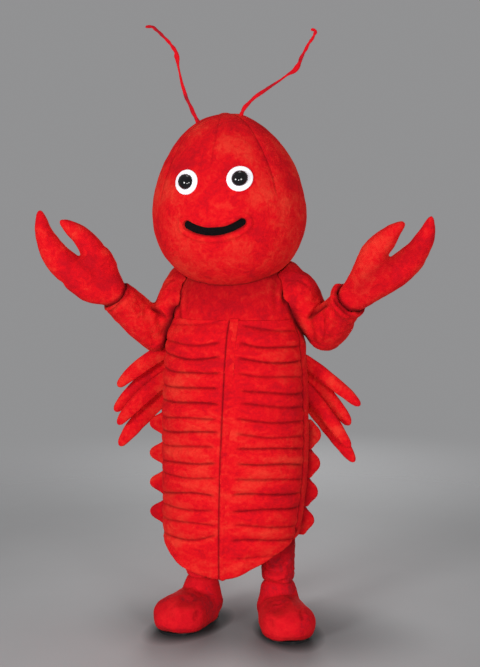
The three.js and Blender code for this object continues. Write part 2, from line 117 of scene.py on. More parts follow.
# The claws lie flat in a plane: sideways towards the short finger, and up from the wrist.
CLAWS = {
    "left": {
        "palm": ([(0, -38), (-8, 30), (-10, 90), (-9, 160), (-9, 218)], [48, 60, 77, 97, 96]),
        "long": (
            [(-45, 130), (-58, 200), (-61, 265), (-56, 320), (-44, 364), (-10, 432)],
            [55, 56, 50, 41, 34, 17],
        ),
        "short": (
            [(40, 130), (52, 200), (52, 263), (53, 297), (50, 325), (46, 350)],
            [45, 47, 40, 30, 20, 12],
        ),
    },
    "right": {
        "palm": ([(2, -38), (0, 10), (-12, 77), (-15, 150), (-17, 198)], [46, 60, 97, 110, 104]),
        "long": (
            [(-50, 120), (-66, 190), (-73, 240), (-66, 304), (-49, 360), (-10, 428)],
            [60, 61, 57, 45, 33, 17],
        ),
        "short": (
            [(30, 120), (46, 190), (50, 244), (45, 280), (36, 315), (25, 352)],
            [50, 47, 40, 34, 25, 13],
        ),
    },
}
# The rolls in which the sleeves end: how thick each is, and its ring's radius.
CUFFS = {"left": (13.5, 62), "right": (9, 57)}
CLAW_THICKNESS = {
    "palm": [42, 50, 56, 58, 48],
    "long": [40, 46, 44, 37, 29, 15],
    "short": [44, 43, 38, 32, 24, 12],
}

SIDE_LEG = {"pitch": 54, "rows": (46, 92), "half_thick": 19}
SIDE_LEG_WIDE = {"left": 27, "right": 30}
SIDE_LEG_SAG = {"left": 5, "right": -15}
SIDE_LEG_FANS = {
    "left": (1032, [(475, 864), (432, 779), (438, 699), (450, 635)]),
    "right": (1078, [(-497, 908), (-526, 801), (-498, 754), (-508, 658)]),
}
SCALLOP = {"count": 4, "half_height": 60, "half_thick": 13, "back": 36}
SCALLOP_ROWS = {"left": (746, 112, 62), "right": (768, 119, 96)}

FEELER_GIRTHS = [7.6, 7, 6, 4.4, 8.6, 5.8, 5.2, 5.6, 4.2]
FEELER_RUNS = {
    "left": [
        (60, 290), (84, 336), (128, 374), (190, 408), (250, 441), (291, 465), (310, 498),
        (338, 542), (364, 576), (369, 590), (354, 596),
    ],
    "right": [
        (-88, 280), (-112, 338), (-136, 400), (-151, 468), (-158, 525), (-162, 562),
        (-184, 598), (-222, 640), (-246, 661), (-270, 662),
    ],
}

# ---------------------------------------------------------------- points and meshes


def placed(points):
    """Points of the pattern, in millimetres, in the frame's metres."""
    return (np.asarray(points, float) + SUIT_PLACE) * MM


def on_pattern(obj):
    """The object's points on the pattern, in millimetres."""
    return read(obj.data) / MM - SUIT_PLACE


def moved(points, where):
    """Points taken through a 4x4 matrix."""
    m = np.array(where)
    return np.asarray(points, float) @ m[:3, :3].T + m[:3, 3]


def unit(vectors):
    return vectors / np.maximum(np.linalg.norm(vectors, axis=1, keepdims=True), 1e-12)


def smooth(low, high, value):
    share = np.clip((value - low) / (high - low), 0, 1)
    return share * share * (3 - 2 * share)


def hump(off, width):
    """1 on a line and 0 away from it, by the distance from the line."""
    return np.exp(-((off / width) ** 2))


def spline(points, share):
    """Points on a centripetal Catmull-Rom curve through `points`."""
    p = np.asarray(points, float)
    t = np.clip(np.atleast_1d(np.asarray(share, float)), 0, 1)
    last = len(p) - 1
    run = np.concatenate([[2 * p[0] - p[1]], p, [2 * p[-1] - p[-2]]])
    at = np.minimum((t * last).astype(int), last - 1)
    w = (t * last - at)[:, None]
    a, b, c, d = (run[at + k] for k in range(4))
    step = [np.sqrt(np.linalg.norm(q - p, axis=1))[:, None] for p, q in ((a, b), (b, c), (c, d))]
    between = np.where(step[1] < 1e-4, 1.0, step[1])
    before = np.where(step[0] < 1e-4, between, step[0])
    after = np.where(step[2] < 1e-4, between, step[2])
    start = ((b - a) / before - (c - a) / (before + between) + (c - b) / between) * between
    end = ((c - b) / between - (d - b) / (between + after) + (d - c) / after) * between
    square = -3 * b + 3 * c - 2 * start - end
    cube = 2 * b - 2 * c + start + end
    return b + w * (start + w * (square + w * cube))


def corners(bm):
    return np.array([v.co for v in bm.verts])


def move_corners(bm, points):
    for vert, point in zip(bm.verts, points):
        vert.co = point


def read(mesh):
    flat = np.empty(len(mesh.vertices) * 3)
    mesh.vertices.foreach_get("co", flat)
    return flat.reshape(-1, 3)


def write(mesh, points):
    mesh.vertices.foreach_set("co", np.ascontiguousarray(points, float).ravel())
    mesh.update()


def outwards(mesh):
    flat = np.empty(len(mesh.vertices) * 3)
    mesh.vertex_normals.foreach_get("vector", flat)
    return flat.reshape(-1, 3)


def lifted(obj, lift):
    """Moves the skin out by `lift` millimetres, one for all or one for each point."""
    step = np.reshape(lift, (-1, 1))
    write(obj.data, read(obj.data) + outwards(obj.data) * step * MM)


def as_object(name, bm):
    """The bmesh as an object, with its faces turned out and shaded smooth."""
    bmesh.ops.recalc_face_normals(bm, faces=bm.faces)
    mesh = bpy.data.meshes.new(name)
    bm.to_mesh(mesh)
    bm.free()
    mesh.shade_smooth()
    obj = bpy.data.objects.new(name, mesh)
    bpy.context.scene.collection.objects.link(obj)
    return obj


def applied(obj):
    """The object with its modifiers made part of its mesh."""
    bpy.context.view_layer.update()
    graph = bpy.context.evaluated_depsgraph_get()
    mesh = bpy.data.meshes.new_from_object(obj.evaluated_get(graph), depsgraph=graph)
    obj.modifiers.clear()
    old = obj.data
    obj.data = mesh
    bpy.data.meshes.remove(old)
    mesh.shade_smooth()
    return obj


def removed(*objects):
    for obj in objects:
        mesh = obj.data
        bpy.data.objects.remove(obj)
        bpy.data.meshes.remove(mesh)


@contextmanager
def opened(obj):
    """The object's mesh as a bmesh, which is written back at the end."""
    bm = bmesh.new()
    bm.from_mesh(obj.data)
    yield bm
    bm.to_mesh(obj.data)
    bm.free()


def relaxed(obj, times):
    """The mesh with the steps of a remesh or a cut smoothed away."""
    axes = {"use_axis_x": True, "use_axis_y": True, "use_axis_z": True}
    with opened(obj) as bm:
        for _ in range(times):
            bmesh.ops.smooth_vert(bm, verts=bm.verts, factor=0.5, **axes)
    return obj


def remeshed(obj, voxel):
    """One even skin round everything in the mesh, `voxel` millimetres to a face."""
    skin = obj.modifiers.new("Skin", "REMESH")
    skin.mode = "VOXEL"
    skin.voxel_size = voxel * MM
    return applied(obj)


def joined(name, *objects):
    bm = bmesh.new()
    for obj in objects:
        bm.from_mesh(obj.data)
    removed(*objects)
    return as_object(name, bm)


def cut_clear(obj, *others, gap=0.8):
    """The object, less the room that its neighbours take."""
    for other in others:
        room = other.copy()
        room.data = other.data.copy()
        bpy.context.scene.collection.objects.link(room)
        lifted(room, gap)
        cut = obj.modifiers.new("Cut", "BOOLEAN")
        cut.operation = "DIFFERENCE"
        cut.solver = "MANIFOLD"
        cut.object = room
        applied(obj)
        removed(room)
    return largest_part(obj)


def largest_part(obj):
    """The object without the loose scraps that a cut leaves."""
    with opened(obj) as bm:
        left = set(bm.verts)
        parts = []
        while left:
            part, todo = [], [left.pop()]
            while todo:
                vert = todo.pop()
                part.append(vert)
                beside = {edge.other_vert(vert) for edge in vert.link_edges} & left
                left -= beside
                todo.extend(beside)
            parts.append(part)
        parts.sort(key=len)
        scraps = [vert for part in parts[:-1] for vert in part]
        bmesh.ops.delete(bm, geom=scraps, context="VERTS")
    return obj


# ---------------------------------------------------------------- forms


def ball_mesh(columns, rows):
    """A ball whose edges and faces are in the same order in every run."""
    bm = bmesh.new()
    bmesh.ops.create_uvsphere(bm, u_segments=columns, v_segments=rows, radius=1)
    bm.verts.index_update()

    def in_order(item):
        first, second, third = (sorted(v.index for v in item.verts) + [0])[:3]
        return first * 1e8 + second * 1e4 + third

    bm.edges.sort(key=in_order)
    bm.faces.sort(key=in_order)
    return bm


def limb(name, path, girths, across, columns=40, rows=56, blunt=5, where=None, form=None):
    """A stuffed form along a smooth path. `girths` are half widths and half thicknesses
    from root to tip, and `form` may swell or pinch it by place along and angle round it."""
    bm = ball_mesh(columns, rows)
    ball = corners(bm)
    share = (1 - ball[:, 2]) / 2
    rounding = np.sqrt(np.maximum(0, 1 - np.abs(ball[:, 2]) ** blunt))
    ring = np.maximum(np.hypot(ball[:, 0], ball[:, 1]), 1e-9)
    angle = np.arctan2(ball[:, 1], ball[:, 0])
    tangent = spline(path, share + 1e-3) - spline(path, share - 1e-3)
    up = unit(np.cross(tangent, np.asarray(across, float)))
    side = unit(np.cross(up, tangent))
    swell = rounding if form is None else rounding * form(share, angle)
    wide, deep = (spline(girths, share) * swell[:, None]).T
    points = spline(path, share)
    points += side * (wide * ball[:, 0] / ring)[:, None]
    points += up * (deep * ball[:, 1] / ring)[:, None]
    if where is not None:
        points = moved(points, where)
    move_corners(bm, placed(points))
    return as_object(name, bm)


def quilt(name, columns, rows, outer, inner):
    """A closed padded sheet between two skins, each a function of the shares across and down."""
    bm = bmesh.new()
    bmesh.ops.create_grid(bm, x_segments=columns, y_segments=rows, size=1)
    copy = bmesh.ops.duplicate(bm, geom=bm.faces[:] + bm.edges[:] + bm.verts[:])["geom"]
    lining = [v for v in copy if isinstance(v, bmesh.types.BMVert)]
    bmesh.ops.translate(bm, verts=lining, vec=(0, 0, -0.01))
    bmesh.ops.reverse_faces(bm, faces=[f for f in copy if isinstance(f, bmesh.types.BMFace)])
    bmesh.ops.bridge_loops(bm, edges=[e for e in bm.edges if e.is_boundary])
    grid = corners(bm)
    across, down = (grid[:, 0] + 1) / 2, (1 - grid[:, 1]) / 2
    inside = grid[:, 2] < -0.005
    points = np.where(inside[:, None], inner(across, down), outer(across, down))
    move_corners(bm, placed(points))
    return as_object(name, bm)


# ---------------------------------------------------------------- folds, seams, painted shade and stuffing


def paint_shade(obj, values):
    """Keeps how much painted shade each point gets, in a seam, fold or recess or against a
    neighbour, for the colour of the pile: the most given so far.
    """
    layer = obj.data.attributes.get("painted_shade") or obj.data.attributes.new("painted_shade", "FLOAT", "POINT")
    old = np.zeros(len(obj.data.vertices))
    layer.data.foreach_get("value", old)
    layer.data.foreach_set("value", np.maximum(old, values))


def from_line(points, run):
    """How far points are from a run of points, and how far along it, from 0 to 1."""
    nearest = np.full(len(points), np.inf)
    along = np.zeros(len(points))
    length = 0.0
    for start, end in zip(run[:-1], run[1:]):
        edge = end - start
        size = np.linalg.norm(edge)
        if size < 1e-9:
            continue
        share = np.clip((points - start) @ edge / size**2, 0, 1)
        off = np.linalg.norm(points - start - share[:, None] * edge, axis=1)
        closer = off < nearest
        nearest[closer] = off[closer]
        along[closer] = length + share[closer] * size
        length += size
    return nearest, along / length


def crease(obj, path, depth, width, towards=None, lip=0.0, dark=None, ends=0.2):
    """Presses a line into the skin, `depth` deep and `width` to each side, with a raised
    `lip` along it, and paints shade along it, by default darker for a steep one. It
    fades over the share `ends` at both ends. With `towards`, the line is drawn on the side that
    faces that way."""
    if dark is None:
        dark = min(0.85, 0.5 * depth / width)
    points = on_pattern(obj)
    run = spline(path, np.linspace(0, 1, 6 * len(path)))
    facing = np.ones(len(points))
    if towards is not None:
        view = unit(np.array([towards], float))[0]
        facing = smooth(0.0, 0.3, outwards(obj.data) @ view)
        points = points - np.outer(points @ view, view)
        run = run - np.outer(run @ view, view)
    reach = 4 * width
    inside = (points > run.min(axis=0) - reach) & (points < run.max(axis=0) + reach)
    near = np.flatnonzero(inside.all(axis=1) & (facing > 0))
    off, along = from_line(points[near], run)
    fade = smooth(0, ends, along) * smooth(0, ends, 1 - along) * facing[near]
    press = np.zeros(len(points))
    press[near] = fade * (depth * hump(off, width) - lip * hump(off - 2.1 * width, width))
    lifted(obj, -press)
    shade = np.zeros(len(points))
    shade[near] = dark * fade * hump(off, 0.8 * width)
    paint_shade(obj, shade)


def folded(obj, folds):
    """Folds as they are seen from a little to the wearer's left."""
    for path, depth, width, lip in folds:
        crease(obj, path, depth, width, SEEN, lip)


def closeness(obj, *others, reach=7):
    """1 where the skin is close to another piece, falling to 0 over about `reach`."""
    points = on_pattern(obj)
    near_to = np.zeros(len(points))
    margin = 3 * reach + 4
    for other in others:
        around = on_pattern(other)
        low, high = around.min(axis=0) - margin, around.max(axis=0) + margin
        near = np.flatnonzero(((points > low) & (points < high)).all(axis=1))
        if not len(near):
            continue
        low, high = points[near].min(axis=0) - margin, points[near].max(axis=0) + margin
        around = around[((around > low) & (around < high)).all(axis=1)]
        if not len(around):
            continue
        tree = KDTree(len(around))
        for index, point in enumerate(around):
            tree.insert(point, index)
        tree.balance()
        off = np.array([tree.find(point)[2] for point in points[near]])
        near_to[near] = np.maximum(near_to[near], hump(np.maximum(off - 4, 0), reach))
    return near_to


def shaded_by(obj, *others, reach=7, amount=0.8, below=3000):
    """Paints shade on the pile where it goes in against a neighbour, under the height `below`."""
    height = on_pattern(obj)[:, 2]
    paint_shade(obj, amount * smooth(below, below - 50, height) * closeness(obj, *others, reach=reach))


def rumpled(obj, *layers):
    """Uneven stuffing. Each layer is how far the skin goes in and out, over about what
    size, and a seed."""
    for height, size, seed in layers:
        spread = on_pattern(obj) / size + seed * 17.3
        lifted(obj, height * np.array([noise.noise(p) for p in spread]))


FABRIC = {
    "quality": 3,
    "mass": 0.3,
    "tension_stiffness": 12,
    "compression_stiffness": 12,
    "shear_stiffness": 6,
    "bending_stiffness": 0.4,
    "air_damping": 2,
    "use_pressure": True,
}


def puffed(obj, pressure, cap, held=None, frames=11, slack=0.0):
    """Fills a sewn piece: cloth under pressure, no point moving more than `cap`.
    `held` is how firmly each point is sewn down, from 0 to 1."""
    before = read(obj.data)
    cloth = obj.modifiers.new("Stuffing", "CLOTH")
    fabric = cloth.settings
    for name, value in FABRIC.items():
        setattr(fabric, name, value)
    fabric.uniform_pressure_force = pressure
    fabric.shrink_min = -slack
    fabric.effector_weights.gravity = 0
    cloth.collision_settings.use_collision = False
    if held is not None:
        group = obj.vertex_groups.new(name="Sewn")
        for index in np.flatnonzero(held > 0.02):
            group.add([int(index)], float(held[index]), "REPLACE")
        fabric.vertex_group_mass = group.name
    scene = bpy.context.scene
    for step in range(1, frames + 1):
        scene.frame_set(step)
    graph = bpy.context.evaluated_depsgraph_get()
    after = read(obj.evaluated_get(graph).data)
    obj.modifiers.clear()
    obj.vertex_groups.clear()
    scene.frame_set(1)
    step = after - before
    length = np.maximum(np.linalg.norm(step, axis=1, keepdims=True), 1e-9)
    limit = cap * MM
    write(obj.data, before + step / length * limit * np.tanh(length / limit))


# ---------------------------------------------------------------- materials


class Wire:
    """A node's output, on which sums and products add Math nodes."""

    def __init__(self, shading, output):
        self.shading, self.output = shading, output

    def maths(self, operation, first, second):
        sockets = {0: first, 1: second}
        return self.shading.node("ShaderNodeMath", {"operation": operation}, sockets)

    def __add__(self, other):
        return self.maths("ADD", self, other)

    def __sub__(self, other):
        return self.maths("SUBTRACT", self, other)

    def __rsub__(self, other):
        return self.maths("SUBTRACT", other, self)

    def __mul__(self, other):
        return self.maths("MULTIPLY", self, other)

    __radd__ = __add__
    __rmul__ = __mul__


class Shading:
    """A material and the few ways in which its nodes are made."""

    def __init__(self, name, **finish):
        self.material = bpy.data.materials.new(name)
        self.material.use_nodes = True
        self.tree = self.material.node_tree
        self.surface = self.tree.nodes["Principled BSDF"]
        self.give(**finish)

    def give(self, **finish):
        """Sets or links the surface's sockets, by their names."""
        for socket, value in finish.items():
            self.feed(self.surface.inputs[socket.replace("_", " ")], value)

    def feed(self, socket, value):
        if isinstance(value, Wire):
            self.tree.links.new(value.output, socket)
        else:
            socket.default_value = value

    def node(self, kind, settings=None, sockets=None, output=0):
        made = self.tree.nodes.new(kind)
        for name, value in (settings or {}).items():
            setattr(made, name, value)
        for name, value in (sockets or {}).items():
            self.feed(made.inputs[name], value)
        return Wire(self, made.outputs[output])

    def place(self, stretch=(1, 1, 1)):
        """The point on the object, in metres, stretched."""
        at = self.node("ShaderNodeTexCoord", output="Object")
        return self.node("ShaderNodeMapping", None, {"Vector": at, "Scale": stretch})

    def cloud(self, at, scale, detail=3.0, rough=0.55, warp=0.0):
        sockets = {"Vector": at, "Scale": scale, "Detail": detail, "Roughness": rough}
        return self.node("ShaderNodeTexNoise", None, {**sockets, "Distortion": warp})

    def ease(self, value, low, high):
        """0 below `low`, 1 above `high`, smooth between them."""
        sockets = {"Value": value, "From Min": low, "From Max": high}
        return self.node("ShaderNodeMapRange", {"interpolation_type": "SMOOTHSTEP"}, sockets)

    def mix(self, share, first, second):
        sockets = {0: share, 6: first, 7: second}
        return self.node("ShaderNodeMix", {"data_type": "RGBA"}, sockets, output=2)

    def larger(self, first, second):
        return first.maths("MAXIMUM", first, second)

    def length(self, vector):
        settings = {"operation": "LENGTH"}
        return self.node("ShaderNodeVectorMath", settings, {0: vector}, output="Value")

    def bump(self, height, strength, distance):
        sockets = {"Height": height, "Strength": strength, "Distance": distance}
        self.give(Normal=self.node("ShaderNodeBump", None, sockets))


PAINTED_SHADE_RED = (0.06, 0.001, 0.003, 1)
PILE_SHADE = (0.2, 0.001, 0.002, 1)


def plush(name, deep, base, bright, streak=(1, 1, 1)):
    """Short-pile plush. The nap lies this way and that, so the red turns from deep to
    orange in soft patches, and painted shade darkens it down in the seams and folds."""
    s = Shading(
        name,
        Roughness=0.95,
        Specular_IOR_Level=0.04,
        Sheen_Weight=0.10,
        Sheen_Roughness=0.5,
        Sheen_Tint=(1.0, 0.10, 0.06, 1),
    )
    at = s.place()
    brushed = s.place(streak)
    nap = s.cloud(brushed, 7, 2.0, 0.45, 0.5)
    lay = s.cloud(brushed, 30, 3.0, 0.6, 0.9)
    tuft = s.cloud(at, 88, 4.0, 0.65, 0.5)
    fibre = s.cloud(at, 620, 2.0, 0.7)
    painted_shade = s.node("ShaderNodeAttribute", {"attribute_name": "painted_shade"}, output="Fac")
    lie = nap * 0.46 + lay * 0.34 + tuft * 0.20
    colour = s.mix(s.ease(lie, 0.36, 0.51), deep, base)
    colour = s.mix(s.ease(lie, 0.46, 0.67) * 0.92, colour, bright)
    shade = s.ease(fibre + tuft * 0.6, 0.5, 1.0)
    colour = s.mix(0.16 - shade * 0.16, colour, PILE_SHADE)
    # Painted shade, kept per point, takes the colour towards a near-black red.
    s.give(Base_Color=s.mix(painted_shade * 0.92, colour, PAINTED_SHADE_RED))
    s.bump(fibre * 0.5 + tuft * 1.0 + lay * 1.2, 0.55, 0.0035)
    return s.material


def felt():
    s = Shading("white_felt", Roughness=0.95, Sheen_Weight=0.25)
    fibre = s.cloud(s.place(), 900, 3.0, 0.7, 1.5)
    soft = s.cloud(s.place(), 60, 2.0)
    colour = s.mix(s.ease(fibre, 0.35, 0.7), (0.72, 0.70, 0.76, 1), (0.93, 0.91, 0.95, 1))
    s.give(Base_Color=s.mix(s.ease(soft, 0.5, 0.75) * 0.3, colour, (0.70, 0.66, 0.72, 1)))
    s.bump(fibre, 0.35, 0.0012)
    return s.material


def gloss():
    s = Shading("polished_black", Specular_IOR_Level=0.3, Coat_Weight=0.3, Coat_Roughness=0.03)
    haze = s.cloud(s.place(), 35)
    dark, pale = (0.002, 0.002, 0.003, 1), (0.006, 0.005, 0.007, 1)
    s.give(Base_Color=s.mix(s.ease(haze, 0.4, 0.7), dark, pale))
    s.give(Roughness=s.ease(haze, 0.3, 0.8) * 0.08 + 0.06)
    return s.material


def gauze():
    """Open black cloth, woven of threads up and across."""
    s = Shading("black_gauze", Roughness=0.9, Specular_IOR_Level=0.02)
    at = s.place()
    settings = {"wave_type": "BANDS", "wave_profile": "SIN"}
    sockets = {"Vector": at, "Scale": 95, "Distortion": 0.3, "Detail": 1.0}
    up, over = [
        s.node("ShaderNodeTexWave", {**settings, "bands_direction": axis}, sockets)
        for axis in ("X", "Z")
    ]
    cloth = s.larger(up, over)
    dark, pale = (0.0005, 0.0005, 0.0005, 1), (0.009, 0.008, 0.009, 1)
    s.give(Base_Color=s.mix(s.ease(cloth, 0.55, 0.95), dark, pale))
    s.bump(cloth, 0.8, 0.0015)
    return s.material


def rubber():
    s = Shading("black_rubber", Roughness=0.8, Specular_IOR_Level=0.15)
    dust = s.ease(s.cloud(s.place(), 30), 0.45, 0.75)
    s.give(Base_Color=s.mix(dust, (0.006, 0.006, 0.007, 1), (0.022, 0.020, 0.019, 1)))
    s.bump(s.cloud(s.place(), 400), 0.3, 0.0008)
    return s.material


SUIT_REDS = [(0.43, 0.004, 0.010, 1), (0.60, 0.004, 0.009, 1), (0.66, 0.034, 0.020, 1)]
# A darker, shaded copy of the suit's reds: painted shade for the shoes, trouser legs and feelers.
SHADED_REDS = [(0.28, 0.009, 0.016, 1), (0.53, 0.004, 0.011, 1), (0.60, 0.010, 0.014, 1)]

# Each material, and the record's slot that it belongs to.
PLUSH = (plush("red_plush", *SUIT_REDS), "plush_red")
RIB_PLUSH = (plush("red_plush_ribs", *SUIT_REDS, streak=(0.6, 0.6, 1.2)), "plush_red")
SHOE_PLUSH = (plush("red_plush_shoes", *SHADED_REDS), "plush_red")
FELT = (felt(), "felt_white")
GLOSS = (gloss(), "eye_black")
GAUZE = (gauze(), "gauze_black")
RUBBER = rubber()


def sewn_on(obj, cloth, *nodes, fill=None):
    """Finishes a piece: its cloth and the frame's nodes that it stands for. `fill` is not used.
    """
    material, slot = cloth
    obj.data.materials.clear()
    obj.data.materials.append(material)
    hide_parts(*nodes)
    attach(obj, "root")


# ---------------------------------------------------------------- torso


def section(z, padding=0.0):
    """Half the width and half the depth of the body at a height, and its middle."""
    off = ((z - TORSO["widest"]) / 500) ** 2
    low = np.maximum(0, (TORSO["widest"] - z) / 400)
    wide = TORSO["half_width"] * (1 - 0.11 * off) + padding
    deep = TORSO["half_depth"] * (1 - 0.2 * off) + padding
    return wide, deep, -20 * low * low


def round_body(turn, z, padding=0.0, rounding=1.0):
    """Points on the body: `turn` is 0 at the wearer's left, and 90 degrees in front."""
    wide, deep, middle = section(z, padding)
    cos, sin = np.cos(np.radians(turn)), np.sin(np.radians(turn))
    away = np.abs(cos / wide) ** TORSO_SQUARE + np.abs(sin / deep) ** TORSO_SQUARE
    reach = away ** (-1 / TORSO_SQUARE) * rounding
    return np.stack([middle + reach * cos, -reach * sin, z + 0 * reach], axis=1)


def make_torso():
    bm = bmesh.new()
    bmesh.ops.create_icosphere(bm, subdivisions=7, radius=1)
    ball = corners(bm)
    half = (TORSO["top"] - TORSO["bottom"]) / 2
    z = (TORSO["top"] + TORSO["bottom"]) / 2 + half * ball[:, 2]
    rounding = np.maximum(0, 1 - np.abs(ball[:, 2]) ** 8) ** (1 / 2.4)
    turn = np.degrees(np.arctan2(-ball[:, 1], ball[:, 0]))
    move_corners(bm, placed(round_body(turn, z, rounding=rounding)))
    return as_object("plush_torso", bm)


def hem_height(x):
    curve = spline(HEM, np.linspace(0, 1, 300))
    return np.interp(x, curve[:, 0], curve[:, 1])


def zip_middle(z):
    return PLACKET["middle"] + PLACKET["lean"] * (z - TORSO["widest"])


def padding_at(z):
    """How thick the quilting is at a height, between its grooves."""
    heights = (160, 200, 260, 320, 370, 420, 1105, 1150, 1180, 1198)
    return np.interp(z, heights, (12, 14, 17, 20, 22, 24, 24, 17, 7, 1.6))


def ribs(turn, z):
    """How far the ribbed quilting stands off the body, and how deep in a groove each
    point is, from 0 to 1, for the shade painted there."""
    rng = np.random.default_rng(11)
    padding = padding_at(z)
    wide, deep, middle = section(z, RIB["crest"])
    opening = np.degrees(np.arctan2(deep, zip_middle(z) - middle))
    # The rows are stitched less firmly where they come round to the side seams.
    inside = np.minimum(turn - SIDE_SEAMS["left"], SIDE_SEAMS["right"] - turn)
    inside = inside + 0.7 * np.sin(z / 9.3 + 2 * np.sin(z / 71))
    sides = (1 - 0.4 * smooth(140, 170, turn)) * smooth(0, 6, inside)
    dip = 0.9 * hump(inside, 1.4) + 0.45 * hump(inside, 4) + 0.35 * smooth(0, -5, inside)
    corner = np.hypot((turn - SIDE_SEAMS["left"] + 1) * 4.7, z - 384)
    dark = 1.35 * np.maximum(hump(inside, 1.5), hump(corner, 14))
    for half, lines in GROOVES.items():
        past = turn - opening if half == "right" else opening - turn
        for row, line in enumerate(lines):
            firm = rng.uniform(0.75, 1.08)
            starts = rng.uniform(5, 9)
            if (half, row) in (("right", 0), ("left", 15)):
                firm *= 0.6
            turns = GROOVE_TURNS[half]
            curve = np.polyfit(turns, line, 2)
            wave = 2.2 * np.sin(turn / rng.uniform(7, 12) + rng.uniform(0, 6))
            off = z - wave - np.polyval(curve, np.clip(turn, min(turns) - 12, max(turns) + 12))
            fade = smooth(starts, starts + 10, past) * firm
            sharp = np.exp(-np.abs(off) / np.where(off > 0, 4.0, 7.5))
            dip += fade * sides * (0.6 * sharp + 0.4 * hump(off, 20))
            dark = np.maximum(dark, fade * sides * hump(off, 4.5))
    return padding - RIB["depth"] * np.minimum(dip, 1.1), dark


def panel_shares(across, down):
    """The turn and height of each point of the belly panel, and the hem's height there."""
    edge = math.degrees(math.asin(PANEL["back"] / (TORSO["half_width"] + RIB["crest"])))
    turn = 180 + edge - across * (180 + 2 * edge)
    top, level = PANEL["top"], PANEL["level"]
    share = (top - level) / PANEL["long"]
    z_low = np.full_like(turn, 300.0)
    for _ in range(4):
        z_low = hem_height(round_body(turn, z_low, 18)[:, 0])
    upper = top - (top - level) * down / share
    lower = level - (level - z_low) * (down - share) / (1 - share)
    return turn, np.where(down < share, upper, lower), z_low


def panel_round(across, z, z_low):
    """How full the padding is by the panel's edges, from 0 on the edge to 1."""
    side_edge, hem_edge = PANEL["edges"]
    sides = np.minimum(across, 1 - across) * PANEL["round"] / side_edge
    hem = (z - z_low) * 0.8 / hem_edge
    near = np.clip(np.minimum(sides, hem), 0, 1)
    return np.sqrt(1 - (1 - near) ** 2)


def flap_sway(turn, z):
    """How far the hanging hem waves out from the body."""
    wave = np.sin(np.radians(turn) * 5.2 + 0.6) * 5 + np.sin(np.radians(turn) * 11 + 2) * 2
    return wave * smooth(420, 250, z)


def panel_outer(across, down):
    turn, z, z_low = panel_shares(across, down)
    padding, _ = ribs(turn, z)
    full = panel_round(across, z, z_low)
    standing = 2 + (padding - 2) * (0.35 + 0.65 * full) + flap_sway(turn, z)
    return round_body(turn, z, standing)


def panel_inner(across, down):
    turn, z, z_low = panel_shares(across, down)
    full = panel_round(across, z, z_low)
    return round_body(turn, z, 0.8 + 4 * (1 - full) * smooth(450, 330, z) + flap_sway(turn, z))


def make_panel():
    obj = quilt("ribbed_panel", 170, 262, panel_outer, panel_inner)
    points = on_pattern(obj)
    z = points[:, 2]
    turn = np.degrees(np.arctan2(-points[:, 1], points[:, 0] - section(z)[2]))
    turn = np.where(turn < -90, turn + 360, turn)
    _, dark = ribs(turn, z)
    # The needle draws the cloth up in small tucks along each groove.
    near = hump((1 - dark) * 6, 9)
    tucks = np.array([noise.noise(Vector((a * 0.24, h * 0.03, 4.0))) for a, h in zip(turn, z)])
    sunk = 6 * hump(points[:, 0] - zip_middle(z) + 7, 12) * smooth(1190, 1150, z)
    lifted(obj, 1.8 * tucks * near - sunk)
    # Painted shade in the grooves and along the side seams.
    paint_shade(obj, np.minimum(0.75 * dark, 1))
    return obj


def strip_outer(across, down):
    """The flap over the zip: sewn down flush on the wearer's left, free on the right."""
    middle = PLACKET["middle"] - 20
    bottom = hem_height(middle + 2 * PLACKET["half_width"] * across) + 3
    z = PLACKET["top"] - (PLACKET["top"] - bottom) * down
    x = zip_middle(z) + (2 * across - 1) * PLACKET["half_width"]
    deep = section(z, padding_at(z))[1]
    free = 1 - across
    lift = 4.6 * smooth(0.0, 0.14, across) * (1 - smooth(0.25, 1.0, across)) - 1.6 * across**3
    ripple = 0.9 * np.sin(z / 9.1 + 3 * np.sin(z / 57)) * free
    sway = 1.6 * np.sin(z / 61 + 1) * free + 0.9 * np.sin(z / 17) * free
    lift = (lift + ripple) * smooth(0, 0.012, 1 - down) * smooth(0, 0.02, down)
    return np.stack([x + sway, -deep - lift, z], axis=1)


def strip_inner(across, down):
    points = strip_outer(across, down)
    under = 9 * smooth(0, 0.3, across) + 2
    return points + np.stack([0 * under, under, 0 * under], axis=1)


torso = make_torso()
panel = make_panel()
zip_strip = quilt("zip_strip", 12, 250, strip_outer, strip_inner)

# ---------------------------------------------------------------- head

HEAD_ROLL = Matrix.Rotation(math.radians(HEAD["roll"]), 4, "Y")
HEAD_FRAME = Matrix.Translation(HEAD["place"]) @ HEAD_ROLL


def head_skin(ball):
    """The head's skin, in its own frame, at points of the unit ball."""
    wide, deep, high = HEAD["half"]
    jaw = 1 - HEAD["pear"] * ball[:, 2]
    return np.stack([wide * jaw * ball[:, 0], deep * jaw * ball[:, 1], high * ball[:, 2]], axis=1)


def on_face(x, z):
    """The front of the head at places sideways and up, in its own frame."""
    wide, _, high = HEAD["half"]
    up = z / high
    side = x / (wide * (1 - HEAD["pear"] * up))
    front = -np.sqrt(np.maximum(0, 1 - up**2 - side**2))
    return head_skin(np.stack([side, front, up], axis=1))


def off_face(x, z):
    """Points on the face, and the directions in which its skin faces."""
    step = 2.0
    sideways = on_face(x + step, z) - on_face(x - step, z)
    upwards = on_face(x, z + step) - on_face(x, z - step)
    return on_face(x, z), unit(np.cross(sideways, upwards))


def in_slot(x, z):
    """How far inside the mouth's slot a place on the face is. It is below 0 outside."""
    centre = MOUTH["up"] + MOUTH["arc"]
    bend = np.radians(MOUTH["half_angle"])
    angle = np.clip(np.arctan2(x, centre - z), -bend, bend)
    off = np.hypot(x - MOUTH["arc"] * np.sin(angle), z - centre + MOUTH["arc"] * np.cos(angle))
    return MOUTH["half_height"] - off


# Gores are sewn from the crown down. Two of the seams fade out at a height on the face:
# from what height to what height, and how firmly they are sewn.
GORES = (0, 48, 100, 140, 180, -48, -100, -140)
FADING_GORES = {0: (0.3, 0.45, 0.6), 48: (-0.1, 0.15, 1)}


